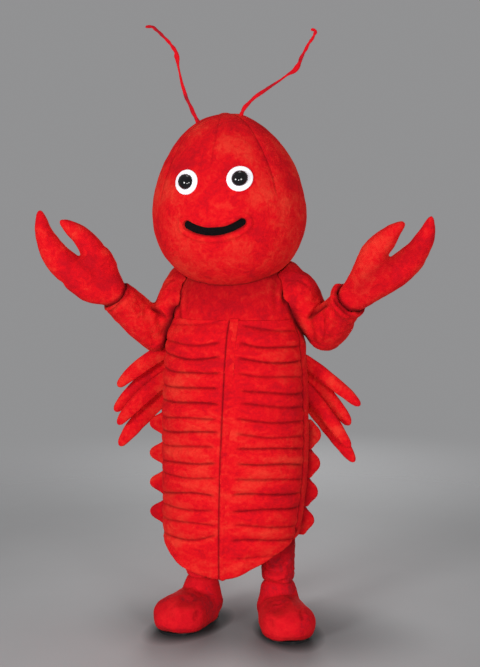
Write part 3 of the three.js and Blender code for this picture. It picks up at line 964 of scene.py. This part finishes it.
def make_head():
    bm = bmesh.new()
    bmesh.ops.create_icosphere(bm, subdivisions=7, radius=1)
    for reach in (26, 11):
        skin = head_skin(corners(bm))
        near = (np.abs(in_slot(skin[:, 0], skin[:, 2])) < reach) & (skin[:, 1] < 0)
        bm.verts.index_update()
        edges = [e for e in bm.edges if near[e.verts[0].index] and near[e.verts[1].index]]
        bmesh.ops.subdivide_edges(bm, edges=edges, cuts=1, use_grid_fill=True)
        bmesh.ops.triangulate(bm, faces=[f for f in bm.faces if len(f.verts) > 4])
        move_corners(bm, unit(corners(bm)))
    ball = corners(bm)
    skin = head_skin(ball)
    front = skin[:, 1] < 0
    inside = in_slot(skin[:, 0], skin[:, 2])
    press = MOUTH["recess"] * smooth(-4, 5, inside) - 5.5 * hump(inside + 14, 8)
    lift = np.where(front, -press, 0)
    # Painted shade in the mouth's recess and along the gores' seams.
    dark = np.where(front, 0.8 * smooth(-3, 4, inside), 0)
    azimuth = np.arctan2(ball[:, 0], -ball[:, 1])
    level = np.hypot(ball[:, 0], ball[:, 1]) * HEAD["half"][0]
    for gore in GORES:
        wander = 0.02 * np.sin(skin[:, 2] / 60 + gore)
        off = np.sin(azimuth - math.radians(gore) + wander) * level
        ahead = np.cos(azimuth - math.radians(gore)) > 0
        firm = 1.0
        if abs(gore) in FADING_GORES:
            low, high, most = FADING_GORES[abs(gore)]
            firm = most * smooth(low, high, ball[:, 2])
        line = ahead * firm * smooth(8, 40, level)
        lift -= line * (2.6 * hump(off, 3.6) + 2.4 * hump(off, 24))
        dark = np.maximum(dark, 0.42 * line * hump(off, 3.0))
    points = skin + unit(skin / np.array(HEAD["half"]) ** 2) * lift[:, None]
    move_corners(bm, placed(moved(points, HEAD_FRAME)))
    obj = as_object("plush_head", bm)
    paint_shade(obj, dark)
    return obj


def on_eye(name, side, radius, low, high, square, lift=0.0):
    """A round pad or dome that lies on the face, `high` proud of it."""
    bm = ball_mesh(64, 32)
    ball = corners(bm)
    spread = np.hypot(ball[:, 0], ball[:, 1])
    even = np.where(spread > 1e-6, np.minimum(spread, 1), 1)
    out = np.where(spread > 1e-6, even ** (2 / square), 0) * radius
    x = side * EYES["apart"] + ball[:, 0] / even * out
    z = EYES["up"] + ball[:, 1] / even * out
    skin, facing = off_face(x, z)
    rise = np.abs(ball[:, 2]) ** (2 / square)
    height = np.where(ball[:, 2] > 0, high * rise, -low * rise) + lift
    move_corners(bm, placed(moved(skin + facing * height[:, None], HEAD_FRAME)))
    return as_object(name, bm)


def gauze_sheet(depth):
    def skin(across, down):
        angle = np.radians((2 * across - 1) * (MOUTH["half_angle"] + 6))
        bow = MOUTH["arc"] + (2 * down - 1) * (MOUTH["half_height"] + 4)
        x = bow * np.sin(angle)
        z = MOUTH["up"] + MOUTH["arc"] - bow * np.cos(angle)
        points, facing = off_face(x, z)
        slack = 2.2 * np.sin(np.pi * down) * np.sin(np.pi * across)
        return moved(points + facing * (slack - depth)[:, None], HEAD_FRAME)

    return skin


def make_feeler(side):
    run = [(x, -32 - 4 * i, z) for i, (x, z) in enumerate(FEELER_RUNS[side])]
    girths = [(0.6 * r, r) for r in FEELER_GIRTHS]

    def twist(share, angle):
        fold = np.cos(2 * (angle - 26 * share - 2 * np.sin(9 * share)))
        return 1 + 0.16 * fold + 0.08 * np.sin(61 * share + angle)

    return limb(
        f"feeler_strip_{side}",
        run,
        girths,
        (0, 1, 0),
        columns=20,
        rows=220,
        blunt=60,
        where=HEAD_FRAME,
        form=twist,
    )


head = make_head()
mouth_gauze = quilt("mouth_gauze", 60, 12, gauze_sheet(12), gauze_sheet(13))
cut_clear(head, torso, gap=1.5)

# ---------------------------------------------------------------- arms


def part_way(a, b, share):
    return tuple(np.asarray(a, float) * (1 - share) + np.asarray(b, float) * share)


def claw_frame(side):
    wrist, tip = Vector(ARMS[side]["wrist"]), Vector(ARMS[side]["tip"])
    along = (tip - wrist).normalized()
    towards = (along.cross(Vector((0.2, -1, 0))) * -SIDES[side]).normalized()
    where = Matrix((towards, along, towards.cross(along))).transposed().to_4x4()
    where.translation = wrist
    return where


def make_claw(side):
    where = claw_frame(side)
    parts = []
    for part, (run, widths) in CLAWS[side].items():
        path = [(x, y, 0) for x, y in run]
        girths = list(zip(widths, CLAW_THICKNESS[part]))
        blunt = 7 if part == "palm" else 9
        parts.append(limb(part, path, girths, (1, 0, 0), rows=72, blunt=blunt, where=where))
    claw = remeshed(joined(f"claw_cover_{side}", *parts), 4)
    return relaxed(claw, 8)


def make_cuff(side):
    """The bunched roll in which a sleeve ends, round the wrist."""
    wrist, elbow = Vector(ARMS[side]["wrist"]), Vector(ARMS[side]["elbow"])
    along = (wrist - elbow).normalized()
    across = along.cross(Vector((0, 1, 0))).normalized()
    up = across.cross(along)
    thick, ring = CUFFS[side]
    path, girths = [], []
    for turn in np.linspace(0, 2.06 * math.pi, 19):
        out = across * math.cos(turn) + up * math.sin(turn)
        path.append(wrist - along * (8 + 3 * math.sin(2 * turn)) + out * ring)
        bunch = thick * (1 + 0.16 * math.sin(3 * turn + 1) + 0.10 * math.sin(7 * turn))
        girths.append((bunch, 0.85 * bunch))
    return limb("cuff", path, girths, along, columns=20, rows=150, blunt=60)


def make_sleeve(side):
    shoulder, elbow, wrist = (ARMS[side][joint] for joint in ("shoulder", "elbow", "wrist"))
    top, bend, cuff = SLEEVE["shoulder"], SLEEVE["elbow"], SLEEVE["cuff"]
    inner = (bend * 1.02, bend * 1.02)
    upper = limb(
        "upper_arm",
        [part_way(shoulder, elbow, share) for share in (0.12, 0.5, 1.22)],
        [(top * 0.86, top * 0.95), (top, top), inner, (bend * 0.9, bend * 0.9)],
        (0, 1, 0),
        blunt=4,
    )
    cap = limb("shoulder_cap", *SHOULDER_CAPS[side], (0, 1, 0), blunt=5)
    fore = limb(
        "forearm",
        [part_way(wrist, elbow, share) for share in (1.24, 0.5, -0.05)],
        [(bend * 0.94, bend * 0.94), inner, (bend * 0.9, bend * 0.9), (cuff, cuff)],
        (0, 1, 0),
        blunt=12,
    )
    return remeshed(joined(f"sleeve_cover_{side}", upper, cap, fore, make_cuff(side)), 6)


# ---------------------------------------------------------------- legs and shoes


def make_trouser(side):
    (x, y), _ = FEET[side]
    wide = SHOE["ankle"]
    return limb(
        f"trouser_{side}",
        [(x * 0.94, y, 450), (x, y, 340), (x, y, 230), (x, y, SHOE["shaft_top"] - 18)],
        [(wide + a, wide + b) for a, b in ((8, 10), (4, 6), (2, 6), (4, 8))],
        (1, 0, 0),
        columns=72,
        rows=80,
        blunt=11,
    )


def foot_frame(side):
    (x, y), toes_out = FEET[side]
    turn = Matrix.Rotation(math.radians(SIDES[side] * toes_out), 4, "Z")
    return Matrix.Translation((x, y, 0)) @ turn


def flat_below(share, angle):
    """A round section with a squarer lower half, as a shoe has over its sole."""
    square = 3.6
    cos, sin = np.abs(np.cos(angle)), np.abs(np.sin(angle))
    return np.where(np.sin(angle) < 0, (cos**square + sin**square) ** (-1 / square), 1.0)


def make_shoe(side):
    where = foot_frame(side)
    heel, toe, wide = SHOE["heel"], SHOE["toe"], SHOE["ankle"]
    foot = limb(
        "foot",
        [(0, heel, 52), (0, 0, 66), (0, toe * 0.55, 62), (0, toe, 52)],
        [(58, 58), (74, 76), (93, 74), (104, 70), (86, 60)],
        (1, 0, 0),
        rows=64,
        blunt=4,
        where=where,
        form=flat_below,
    )
    shaft = limb(
        "shaft",
        [(0, -10, 20), (0, -12, 75), (0, -3, 125), (0, 0, SHOE["shaft_top"])],
        [(wide + a, wide + b) for a, b in ((14, 40), (24, 34), (11, 16), (-3, 0))],
        (1, 0, 0),
        blunt=12,
        where=where,
    )
    shoe = relaxed(remeshed(joined(f"shoe_cover_{side}", foot, shaft), 4.5), 5)
    cut = {"plane_co": placed([[0, 0, SHOE["sole"] + 0.6]])[0], "plane_no": (0, 0, -1)}
    with opened(shoe) as bm:
        geom = bm.verts[:] + bm.edges[:] + bm.faces[:]
        bmesh.ops.bisect_plane(bm, geom=geom, clear_outer=True, **cut)
        bmesh.ops.edgeloop_fill(bm, edges=[e for e in bm.edges if e.is_boundary])
    return shoe


# ---------------------------------------------------------------- side legs and scallops


def side_leg_frame(side, row):
    top, tips = SIDE_LEG_FANS[side]
    tip_x, tip_z = tips[row]
    root_z = top - row * SIDE_LEG["pitch"]
    wide, _, middle = section(root_z)
    root_x = middle + SIDES[side] * wide
    turn = Matrix.Rotation(math.atan2(root_x - tip_x, root_z - tip_z), 4, "Y")
    where = Matrix.Translation((root_x, SIDE_LEG["rows"][row % 2], root_z)) @ turn
    return where, math.hypot(root_x - tip_x, root_z - tip_z)


def edge_seam(depth, spread):
    """A form that is pinched along both edges of a flat stuffed piece."""
    return lambda share, angle: 1 - depth * hump(np.sin(angle), spread)


def make_side_leg(side, row):
    where, length = side_leg_frame(side, row)
    thick, sag = SIDE_LEG["half_thick"], SIDE_LEG_SAG[side]
    wide = SIDE_LEG_WIDE[side] * (1, 1.12)[row % 2]
    return limb(
        f"side_leg_cover_{side}_{row + 1}",
        [(0, 0, 30), (sag, 0, -0.4 * length), (sag * 0.8, 0, -0.72 * length), (0, 0, -length)],
        [
            (wide * 0.95, thick * 0.7),
            (wide * 1.04, thick * 0.95),
            (wide * 1.0, thick),
            (wide * 0.86, thick * 0.85),
            (wide * 0.52, thick * 0.6),
        ],
        (1, 0, 0),
        columns=44,
        rows=72,
        blunt=12,
        where=where,
        form=edge_seam(0.05, 0.13),
    )


def make_scallop(side, row):
    top, pitch, reach = SCALLOP_ROWS[side]
    z = top - row * pitch
    wide, _, middle = section(z)
    where = Matrix.Translation((middle + SIDES[side] * wide, SCALLOP["back"], z))
    where = where @ Matrix.Diagonal((SIDES[side], 1, 1, 1))
    high, thick = SCALLOP["half_height"], SCALLOP["half_thick"]
    return limb(
        f"scallop_cover_{side}_{row + 1}",
        [(-60, 0, 0), (20, 0, 0), (11 + reach * 0.45, 0, 0), (reach, 0, 0)],
        [(high, thick), (high, thick), (high * 0.66, thick), (high * 0.28, thick * 0.8)],
        (0, 0, 1),
        columns=48,
        rows=44,
        blunt=9,
        where=where,
        form=edge_seam(0.03, 0.12),
    )


# ---------------------------------------------------------------- making up


def make_up_head():
    rumpled(head, (4, 150, 1), (1.4, 34, 2))
    shaded_by(head, torso, reach=10, amount=0.7)
    sewn_on(head, PLUSH, "head", fill=0.7)
    sewn_on(mouth_gauze, GAUZE, "mouth_mesh")
    felt_top = EYES["felt_thick"]
    for side, sign in SIDES.items():
        pad = on_eye(f"eye_pad_{side}", sign, EYES["felt"], 1.5, felt_top, 5)
        sewn_on(pad, FELT, f"eye_felt_{side}")
        proud = EYES["dome_proud"]
        dome = on_eye(f"eye_bead_{side}", sign, EYES["dome"], 1, proud, 2, felt_top - 3)
        sewn_on(dome, GLOSS, f"eye_dome_{side}")
        feeler = make_feeler(side)
        rumpled(feeler, (0.8, 9, 3))
        sewn_on(feeler, SHOE_PLUSH, f"feeler_{side}", fill=0.9)


# On the yoke: the folds inside the armholes, the zip's seam and the pleat that runs to it.
YOKE_FOLDS = [
    ([(-207, -92, 1330), (-203, -100, 1280), (-198, -108, 1235), (-190, -114, 1180)], 7, 8, 3),
    ([(-176, -108, 1316), (-172, -120, 1250), (-164, -126, 1190)], 3, 8, 2),
    ([(213, -88, 1362), (207, -98, 1304), (209, -105, 1246)], 9, 8, 3),
    ([(186, -112, 1345), (182, -126, 1280), (188, -130, 1215)], 3, 9, 2),
    ([(-168, -130, 1170), (-90, -162, 1186), (-25, -172, 1214), (4, -172, 1232)], 3.5, 6, 2),
    ([(12, -175, 1186), (4, -172, 1234), (5, -168, 1273), (7, -160, 1322)], 2.6, 5, 1),
    ([(30, -172, 1204), (80, -165, 1196), (150, -140, 1184)], 2, 8, 1),
]
# Folds are drawn as they are seen from a little to the wearer's left.
SEEN = (0.225, -0.974, 0)
BACK_SEAM = [(-6, 150, 1400), (0, 190, 1150), (0, 205, 800), (-16, 190, 400)]


def make_up_body():
    rumpled(torso, (6, 170, 4), (2.0, 40, 5))
    folded(torso, YOKE_FOLDS)
    crease(torso, BACK_SEAM, 4, 5, (0, 1, 0), 1.5, 0.6, 0.04)
    shaded_by(torso, head, reach=12, amount=0.55)
    shaded_by(torso, head, reach=110, amount=0.45)
    shaded_by(torso, panel, reach=8, amount=0.8, below=1150)
    sewn_on(torso, PLUSH, "torso", fill=0.5)
    rumpled(panel, (2.2, 70, 6))
    # A shadow is painted along the free edge of the flap over the zip.
    x, y, z = on_pattern(panel).T
    free_edge = zip_middle(z) - PLACKET["half_width"] - 1
    paint_shade(panel, 0.9 * hump(x - free_edge, 3.5) * (y < 0) * (z < 1195))
    sewn_on(panel, RIB_PLUSH, "belly_panel", fill=0.7)
    rumpled(zip_strip, (0.8, 22, 7))
    sewn_on(zip_strip, PLUSH, "zip_placket", fill=0.2)


# On the sleeves: the crease inside the elbow, the gathers under it and the pushed-up cuff.
SLEEVE_FOLDS = {
    "left": [
        ([(352, -14, 1268), (333, -45, 1244), (313, -62, 1223), (290, -70, 1190)], 13, 8, 5),
        ([(349, -70, 1222), (353, -72, 1168), (347, -55, 1100)], 3, 4, 1.5),
        ([(397, -90, 1234), (394, -95, 1178), (377, -80, 1112)], 3, 9, 2),
        ([(305, -68, 1186), (314, -62, 1136), (329, -50, 1090)], 3, 7, 2),
        ([(410, -150, 1314), (447, -185, 1282), (476, -190, 1256), (502, -150, 1236)], 8, 6, 4),
        ([(389, -120, 1292), (427, -150, 1252), (462, -160, 1222), (492, -140, 1204)], 7, 8, 4),
        ([(206, -105, 1250), (228, -110, 1210), (247, -112, 1173), (272, -105, 1140)], 14, 7, 3),
        ([(228, -84, 1330), (240, -88, 1260), (262, -84, 1180)], 3, 16, 2),
    ],
    "right": [
        ([(-334, -14, 1246), (-302, -50, 1226), (-278, -70, 1210), (-246, -80, 1186)], 12, 8, 5),
        ([(-294, -72, 1216), (-283, -76, 1168), (-272, -72, 1118)], 3, 9, 2.5),
        ([(-326, -75, 1212), (-318, -80, 1179), (-306, -70, 1130)], 2, 12, 1.5),
        ([(-198, -100, 1180), (-222, -96, 1150), (-246, -84, 1112), (-262, -70, 1080)], 14, 8, 3),
        ([(-370, -145, 1304), (-392, -190, 1268), (-432, -180, 1232), (-470, -145, 1212)],
         4, 7, 2),
        ([(-230, -80, 1310), (-240, -84, 1260), (-252, -84, 1200)], 3, 16, 2),
    ],
}
# On the claws: from the crotch down into the palm, in the claw's own plane.
PALM_FOLDS = {
    "left": [(-4, 236, 45), (-6, 190, 60), (-2, 140, 62), (8, 90, 60)],
    "right": [(-4, 208, 45), (-4, 170, 60), (4, 120, 62), (12, 80, 60)],
}
# Where painted shade runs down the middle of each palm, and how dark it is.
PALM_SHADE_RUN = {
    "left": [(0, -10, 50), (4, 100, 60), (-14, 225, 55), (-46, 310, 45), (-48, 390, 30)],
    "right": [(0, 0, 50), (0, 90, 60), (-10, 190, 55), (-40, 260, 45)],
}
PALM_DARK = {"left": 0.32, "right": 0.12}
# On the trouser legs and shoes.
TROUSER_FOLDS = {
    "left": [
        ([(120, -60, 262), (160, -68, 246), (205, -58, 262), (228, -30, 276)], 6, 7, 3),
        ([(128, -60, 226), (168, -68, 214), (214, -54, 222)], 5, 8, 3),
        ([(132, -60, 300), (160, -68, 286), (196, -64, 292)], 4, 8, 3),
        ([(124, -60, 196), (150, -66, 182), (190, -64, 186), (222, -40, 204)], 4, 9, 2),
    ],
    "right": [
        ([(-186, -56, 250), (-150, -66, 236), (-104, -60, 246), (-84, -34, 258)], 5, 8, 3),
        ([(-182, -56, 212), (-140, -66, 198), (-100, -58, 206)], 5, 8, 3),
        ([(-176, -56, 288), (-140, -66, 276), (-106, -58, 284)], 3, 8, 2),
    ],
}
SHOE_FOLDS = {
    "left": [
        ([(112, -80, 138), (154, -110, 122), (200, -110, 126), (240, -60, 146)], 4, 11, 3),
        ([(170, -120, 118), (189, -150, 116), (214, -140, 124)], 3, 10, 2),
        ([(288, -190, 118), (300, -200, 104), (306, -210, 88)], 4, 8, 2),
        ([(170, -180, 96), (178, -200, 80), (180, -220, 64)], 4, 12, 2),
    ],
    "right": [
        ([(-222, -50, 140), (-180, -90, 122), (-130, -90, 122), (-96, -50, 138)], 4, 11, 3),
        ([(-230, -120, 96), (-206, -150, 80), (-200, -175, 62)], 3, 12, 2),
        ([(-120, -130, 96), (-118, -150, 76), (-124, -170, 60)], 4, 12, 2),
    ],
}


def make_up_arm(side):
    claw = make_claw(side)
    sleeve = make_sleeve(side)
    cut_clear(sleeve, torso, panel, head)
    cut_clear(sleeve, claw, gap=3)
    remeshed(sleeve, 5.5)
    relaxed(sleeve, 3)
    puffed(sleeve, 3, 6, closeness(sleeve, torso, panel, head, claw), slack=0.05)
    puffed(claw, 5, 5, closeness(claw, sleeve))
    rumpled(sleeve, (6, 80, 8), (2.6, 30, 9))
    rumpled(claw, (3, 80, 10), (1.4, 26, 11))
    folded(sleeve, SLEEVE_FOLDS[side])
    where = claw_frame(side)
    facing = where.to_3x3() @ Vector((0, 0, 1))
    facing = facing if facing.y < 0 else -facing
    crease(claw, moved(PALM_FOLDS[side], where), 7, 13, facing, 3, 0.25, 0.35)
    # Painted shade runs down the middle of the palm.
    crease(claw, moved(PALM_SHADE_RUN[side], where), 0, 40, facing, 0, PALM_DARK[side], 0.25)
    shaded_by(sleeve, head, reach=70, amount=0.4)
    shaded_by(sleeve, claw, reach=9, amount=0.9)
    shaded_by(sleeve, torso, panel, reach=18, amount=0.95, below=1275)
    shaded_by(claw, sleeve, reach=9, amount=0.8)
    shaded_by(torso, sleeve, reach=13, amount=0.9, below=1330)
    shaded_by(panel, sleeve, reach=12, amount=0.95)
    sewn_on(claw, PLUSH, f"claw_{side}", fill=0.8)
    sewn_on(sleeve, PLUSH, f"sleeve_{side}", fill=0.4)


def make_up_leg(side):
    shoe = make_shoe(side)
    trouser = make_trouser(side)
    cut_clear(trouser, torso, panel, shoe, gap=1.5)
    remeshed(trouser, 4.5)
    relaxed(trouser, 3)
    end = smooth(205, 180, on_pattern(trouser)[:, 2])
    puffed(trouser, 3, 6, np.maximum(end, closeness(trouser, shoe, torso, panel)), slack=0.05)
    edge = smooth(45, 20, on_pattern(shoe)[:, 2])
    puffed(shoe, 4, 6, np.maximum(closeness(shoe, trouser), edge))
    rumpled(trouser, (6, 60, 12), (2.5, 24, 30))
    rumpled(shoe, (4, 60, 13), (1.4, 24, 31))
    folded(trouser, TROUSER_FOLDS[side])
    folded(shoe, SHOE_FOLDS[side])
    shaded_by(trouser, shoe, amount=0.2)
    shaded_by(trouser, panel, reach=60, amount=0.8)
    shaded_by(shoe, panel, reach=60, amount=0.5)
    # The cover is drawn in over the sole's edge.
    height = on_pattern(shoe)[:, 2]
    lifted(shoe, -1.6 * hump(height - WELT, 3.4))
    # Painted shade along the welt, and more of it towards the ground.
    paint_shade(shoe, np.maximum(0.3 * hump(height - WELT, 3), 0.6 * smooth(28, 10, height)))
    sewn_on(shoe, SHOE_PLUSH, f"shoe_{side}", fill=0.8)
    sewn_on(trouser, SHOE_PLUSH, f"leg_{side}", fill=0.4)
    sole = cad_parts[f"sole_{side}"]
    sole.data.materials.clear()
    sole.data.materials.append(RUBBER)
    return trouser


def make_up_fringe(side, trouser):
    """The row of side legs and the scalloped edge below it."""
    earlier = []
    for row in range(4):
        leg = make_side_leg(side, row)
        cut_clear(leg, torso, panel, *earlier)
        puffed(leg, 4, 4, closeness(leg, torso, panel, *earlier))
        rumpled(leg, (2, 45, 14 + row))
        shaded_by(leg, panel, *earlier, amount=0.7)
        sewn_on(leg, PLUSH, f"side_leg_{side}_{row + 1}", fill=0.7)
        earlier.append(leg)
    for row in range(SCALLOP["count"]):
        fin = make_scallop(side, row)
        cut_clear(fin, torso, panel, trouser, *earlier)
        rumpled(fin, (1.5, 40, 20 + row))
        shaded_by(fin, panel, *earlier, reach=13, amount=0.75)
        sewn_on(fin, PLUSH, f"scallop_{side}_{row + 1}", fill=0.5)
        earlier.append(fin)


make_up_head()
make_up_body()
for side_name in SIDES:
    make_up_arm(side_name)
    make_up_fringe(side_name, make_up_leg(side_name))

# ---------------------------------------------------------------- studio


FLOOR_GREY = (0.402, 0.407, 0.412, 1)
FAR_GREY = (0.17, 0.17, 0.172, 1)
PAINTED_SHADOW_GREY = (0.012, 0.012, 0.013, 1)
BACKDROP_GREY = (0.285, 0.285, 0.29, 1)
LIT_POINT = (0, 0, 1.15)
# Each lamp's place and size in metres, and its power in watts.
LAMPS = {
    "key": ((-3.3, -6.2, 1.8), 2.0, 330),
    "fill": ((4.4, -5.6, 1.5), 2.2, 225),
    "front": ((1.2, -7.0, 0.6), 1.6, 165),
    "top": ((0.0, 0.2, 6.0), 1.6, 20),
    "back": ((-0.8, 5.4, 1.4), 2.2, 190),
}


def from_spot(s, at, middle, turn, size, low, high):
    """0 in the middle of a long round spot, and 1 outside it."""
    where = {"Vector": at, "Location": middle, "Rotation": (0, 0, turn), "Scale": size}
    inside = s.node("ShaderNodeMapping", {"vector_type": "TEXTURE"}, where)
    return s.ease(s.length(inside), low, high)


def make_floor():
    """A pale floor, with a painted shadow round the suit, that runs out into the backdrop's grey.
    """
    bm = bmesh.new()
    bmesh.ops.create_circle(bm, cap_ends=True, segments=96, radius=30)
    floor = as_object("studio_floor", bm)
    s = Shading("studio_grey", Roughness=0.9, Specular_IOR_Level=0.1)
    at = s.node("ShaderNodeTexCoord", output="Object")
    away = s.length(at)
    colour = s.mix(s.cloud(at, 3, 2.0) * 0.2, FLOOR_GREY, (0.29, 0.29, 0.29, 1))
    # Farther out the floor is painted darker, a painted shade where less light falls.
    colour = s.mix(s.ease(away, 0.7, 2.2) * 0.42, colour, FAR_GREY)
    # A shadow is painted round the suit, darkest where the shoes stand.
    dark = 0.58 - from_spot(s, at, (0.09, -0.03, 0), 0, (1, 0.67, 1), 0.12, 0.76) * 0.58
    for side, (_, toes_out) in FEET.items():
        turn = math.radians(SIDES[side] * toes_out)
        middle = foot_frame(side) @ Vector((0, -88, 0)) + Vector((14, 0, 0))
        off = from_spot(s, at, placed(middle), turn, (0.112, 0.185, 1), 0.8, 1.75)
        dark = s.larger(dark, 0.9 - off * 0.9)
    s.give(Base_Color=s.mix(dark, colour, PAINTED_SHADOW_GREY), Alpha=1 - s.ease(away, 1.3, 4.6))
    floor.data.materials.append(s.material)


def in_scene(name, data, place):
    obj = bpy.data.objects.new(name, data)
    obj.location = place
    bpy.context.scene.collection.objects.link(obj)
    return obj


def make_light(name, place, size, power):
    lamp = bpy.data.lights.new(name, "AREA")
    lamp.shape = "DISK"
    lamp.size = size
    lamp.energy = power
    towards = Vector(LIT_POINT) - Vector(place)
    in_scene(name, lamp, place).rotation_euler = towards.to_track_quat("-Z", "Y").to_euler()


def make_camera():
    camera = bpy.data.cameras.new("camera")
    camera.sensor_width = 36
    camera.lens = 63.26
    obj = in_scene("camera", camera, (1.007, -4.333, 1.528))
    obj.rotation_euler = (math.radians(85), 0, math.radians(13))
    bpy.context.scene.camera = obj


make_floor()
for name, lamp in LAMPS.items():
    make_light(name, *lamp)
make_camera()

world = bpy.data.worlds.new("studio_world")
world.use_nodes = True
world.node_tree.nodes["Background"].inputs["Color"].default_value = BACKDROP_GREY
bpy.context.scene.world = world
bpy.context.scene.view_settings.view_transform = "Standard"
